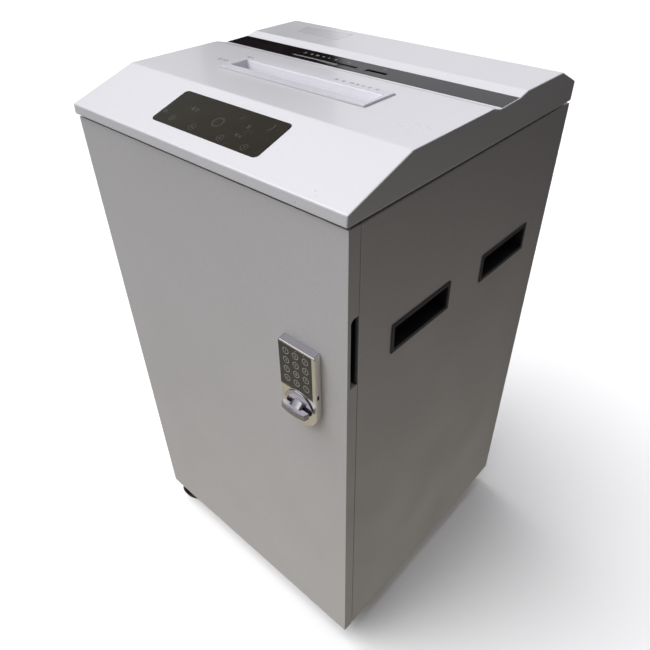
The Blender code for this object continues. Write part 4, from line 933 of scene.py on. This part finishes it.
# ---------------------------------------------------------------- studio
def studio():
    """A pale floor and backdrop, a world graded by direction, two lamps and the camera."""
    scene = bpy.context.scene
    scene.view_settings.view_transform = "Standard"
    size = 9.0
    slab = prism(rounded((-size, size), (-size, size), 0.5, 4), "Z", (-0.02, 0.0))
    floor = bpy.data.objects.new("studio_floor", to_mesh(slab, "studio_floor"))
    scene.collection.objects.link(floor)
    floor.data.materials.append(look("floor_paper", (0.90, 0.90, 0.90), 0.85, tone=(0.8, 0.01),
                                     bumps=((300.0, 0.05, 0.0001),), specular=0.1))
    floor.visible_diffuse = False
    floor.visible_glossy = False

    wall = prism(circle((0.0, 0.0), 11.0, 96), "Z", (-0.03, 9.0))
    bmesh.ops.reverse_faces(wall, faces=wall.faces)
    backdrop = bpy.data.objects.new("studio_backdrop", to_mesh(wall, "studio_backdrop"))
    scene.collection.objects.link(backdrop)
    paper = look("backdrop_paper", (0.10, 0.10, 0.10), 0.9, tone=(0.5, 0.02), bumps=((200.0, 0.05, 0.0001),),
                 specular=0.0)
    paper.node_tree.nodes["Principled BSDF"].inputs["Emission Color"].default_value = (0.93, 0.93, 0.94, 1)
    paper.node_tree.nodes["Principled BSDF"].inputs["Emission Strength"].default_value = 0.85
    backdrop.data.materials.append(paper)
    backdrop.visible_diffuse = False
    backdrop.visible_glossy = False
    backdrop.visible_shadow = False
    backdrop.visible_transmission = False

    world = bpy.data.worlds.new("studio")
    scene.world = world
    world.use_nodes = True
    tree = world.node_tree
    background = tree.nodes["Background"]
    place = tree.nodes.new("ShaderNodeTexCoord")
    split = tree.nodes.new("ShaderNodeSeparateXYZ")
    node_link(tree, place.outputs["Generated"], split.inputs["Vector"])

    def facing(direction):
        part = tree.nodes.new("ShaderNodeVectorMath")
        part.operation = "DOT_PRODUCT"
        node_link(tree, place.outputs["Generated"], part.inputs[0])
        part.inputs[1].default_value = Vector(direction).normalized()
        return part.outputs["Value"]

    front = ranged(tree, facing((-0.7, -0.7, 0.0)), 0.0, 1.0, -0.6, 0.8)
    steep = ranged(tree, split.outputs["Z"], 1.0, 0.0, -0.80, -0.35)
    right_floor = blended(tree, steep, (0.040, 0.036, 0.035), (0.38, 0.35, 0.31))
    front_floor = blended(tree, steep, (0.28, 0.275, 0.285), (0.50, 0.46, 0.385))
    below = blended(tree, front, right_floor, front_floor)
    level = blended(tree, front, (0.018, 0.016, 0.016), (0.22, 0.215, 0.22))
    wall_start = ranged(tree, facing((0.597, 0.802, 0.0)), 0.0, 1.0, -0.008, 0.008)
    wall_end = ranged(tree, facing((0.748, 0.664, 0.0)), 0.0, 1.0, -0.008, 0.008)
    back_wall = blended(tree, wall_start, (0.40, 0.40, 0.42), (0.015, 0.011, 0.013))
    back_wall = blended(tree, wall_end, back_wall, (0.56, 0.56, 0.59))
    rearward = ranged(tree, facing((-0.6, 0.8, 0.0)), 0.0, 1.0, 0.60, 0.75)
    level = blended(tree, rearward, level, back_wall)
    ceiling = blended(tree, ranged(tree, split.outputs["X"], 0.0, 1.0, -0.1, 0.5), (0.74, 0.74, 0.77),
                      (0.12, 0.118, 0.12))
    front_window = ranged(tree, facing((-0.45, -0.72, 0.55)), 0.0, 1.0, 0.76, 0.94)
    ceiling = blended(tree, front_window, ceiling, (1.9, 1.9, 1.95))
    above = blended(tree, ranged(tree, split.outputs["Z"], 0.0, 1.0, 0.32, 0.50), level, ceiling)
    sky = blended(tree, ranged(tree, split.outputs["Z"], 0.0, 1.0, -0.25, 0.05), below, above)
    node_link(tree, sky, background.inputs["Color"])
    background.inputs["Strength"].default_value = 1.0

    def lamp(name, place_at, target, width, height, power, colour=(1, 1, 1)):
        data = bpy.data.lights.new(name, "AREA")
        data.shape = "RECTANGLE"
        data.size = width
        data.size_y = height
        data.energy = power
        data.color = colour
        obj = bpy.data.objects.new(name, data)
        scene.collection.objects.link(obj)
        obj.location = place_at
        obj.rotation_euler = (Vector(target) - Vector(place_at)).to_track_quat("-Z", "Y").to_euler()
        obj.visible_glossy = False

    sky_light = bpy.data.lights.new("ceiling_light", "SUN")
    sky_light.energy = 2.60
    sky_light.angle = math.radians(55)
    ceiling_light = bpy.data.objects.new("ceiling_light", sky_light)
    ceiling_light.rotation_euler = Vector((0.42, 0.30, -1.0)).to_track_quat("-Z", "Y").to_euler()
    ceiling_light.visible_glossy = False
    scene.collection.objects.link(ceiling_light)
    lamp("front_light", (-1.6, -2.6, 1.3), (0, 0, 0.40), 1.8, 1.6, 7, (1.0, 0.98, 0.95))

    camera = bpy.data.objects.new("camera", bpy.data.cameras.new("camera"))
    scene.collection.objects.link(camera)
    right = Vector((0.74221888, 0.67003173, -0.01298514))
    up = Vector((-0.40355418, 0.46233329, 0.78955174))
    turn = Matrix((right, up, right.cross(up))).transposed().to_4x4()
    camera.matrix_world = Matrix.Translation(ORIGIN + Vector((0.55612, -0.37202, 1.05906))) @ turn
    camera.data.lens = 33.485
    camera.data.sensor_width = 36.0
    camera.data.shift_x = -0.00362
    camera.data.shift_y = -0.00898
    camera.data.clip_start = 0.05
    scene.camera = camera


cabinet()
head()
lock()
casters()
mechanism()
studio()
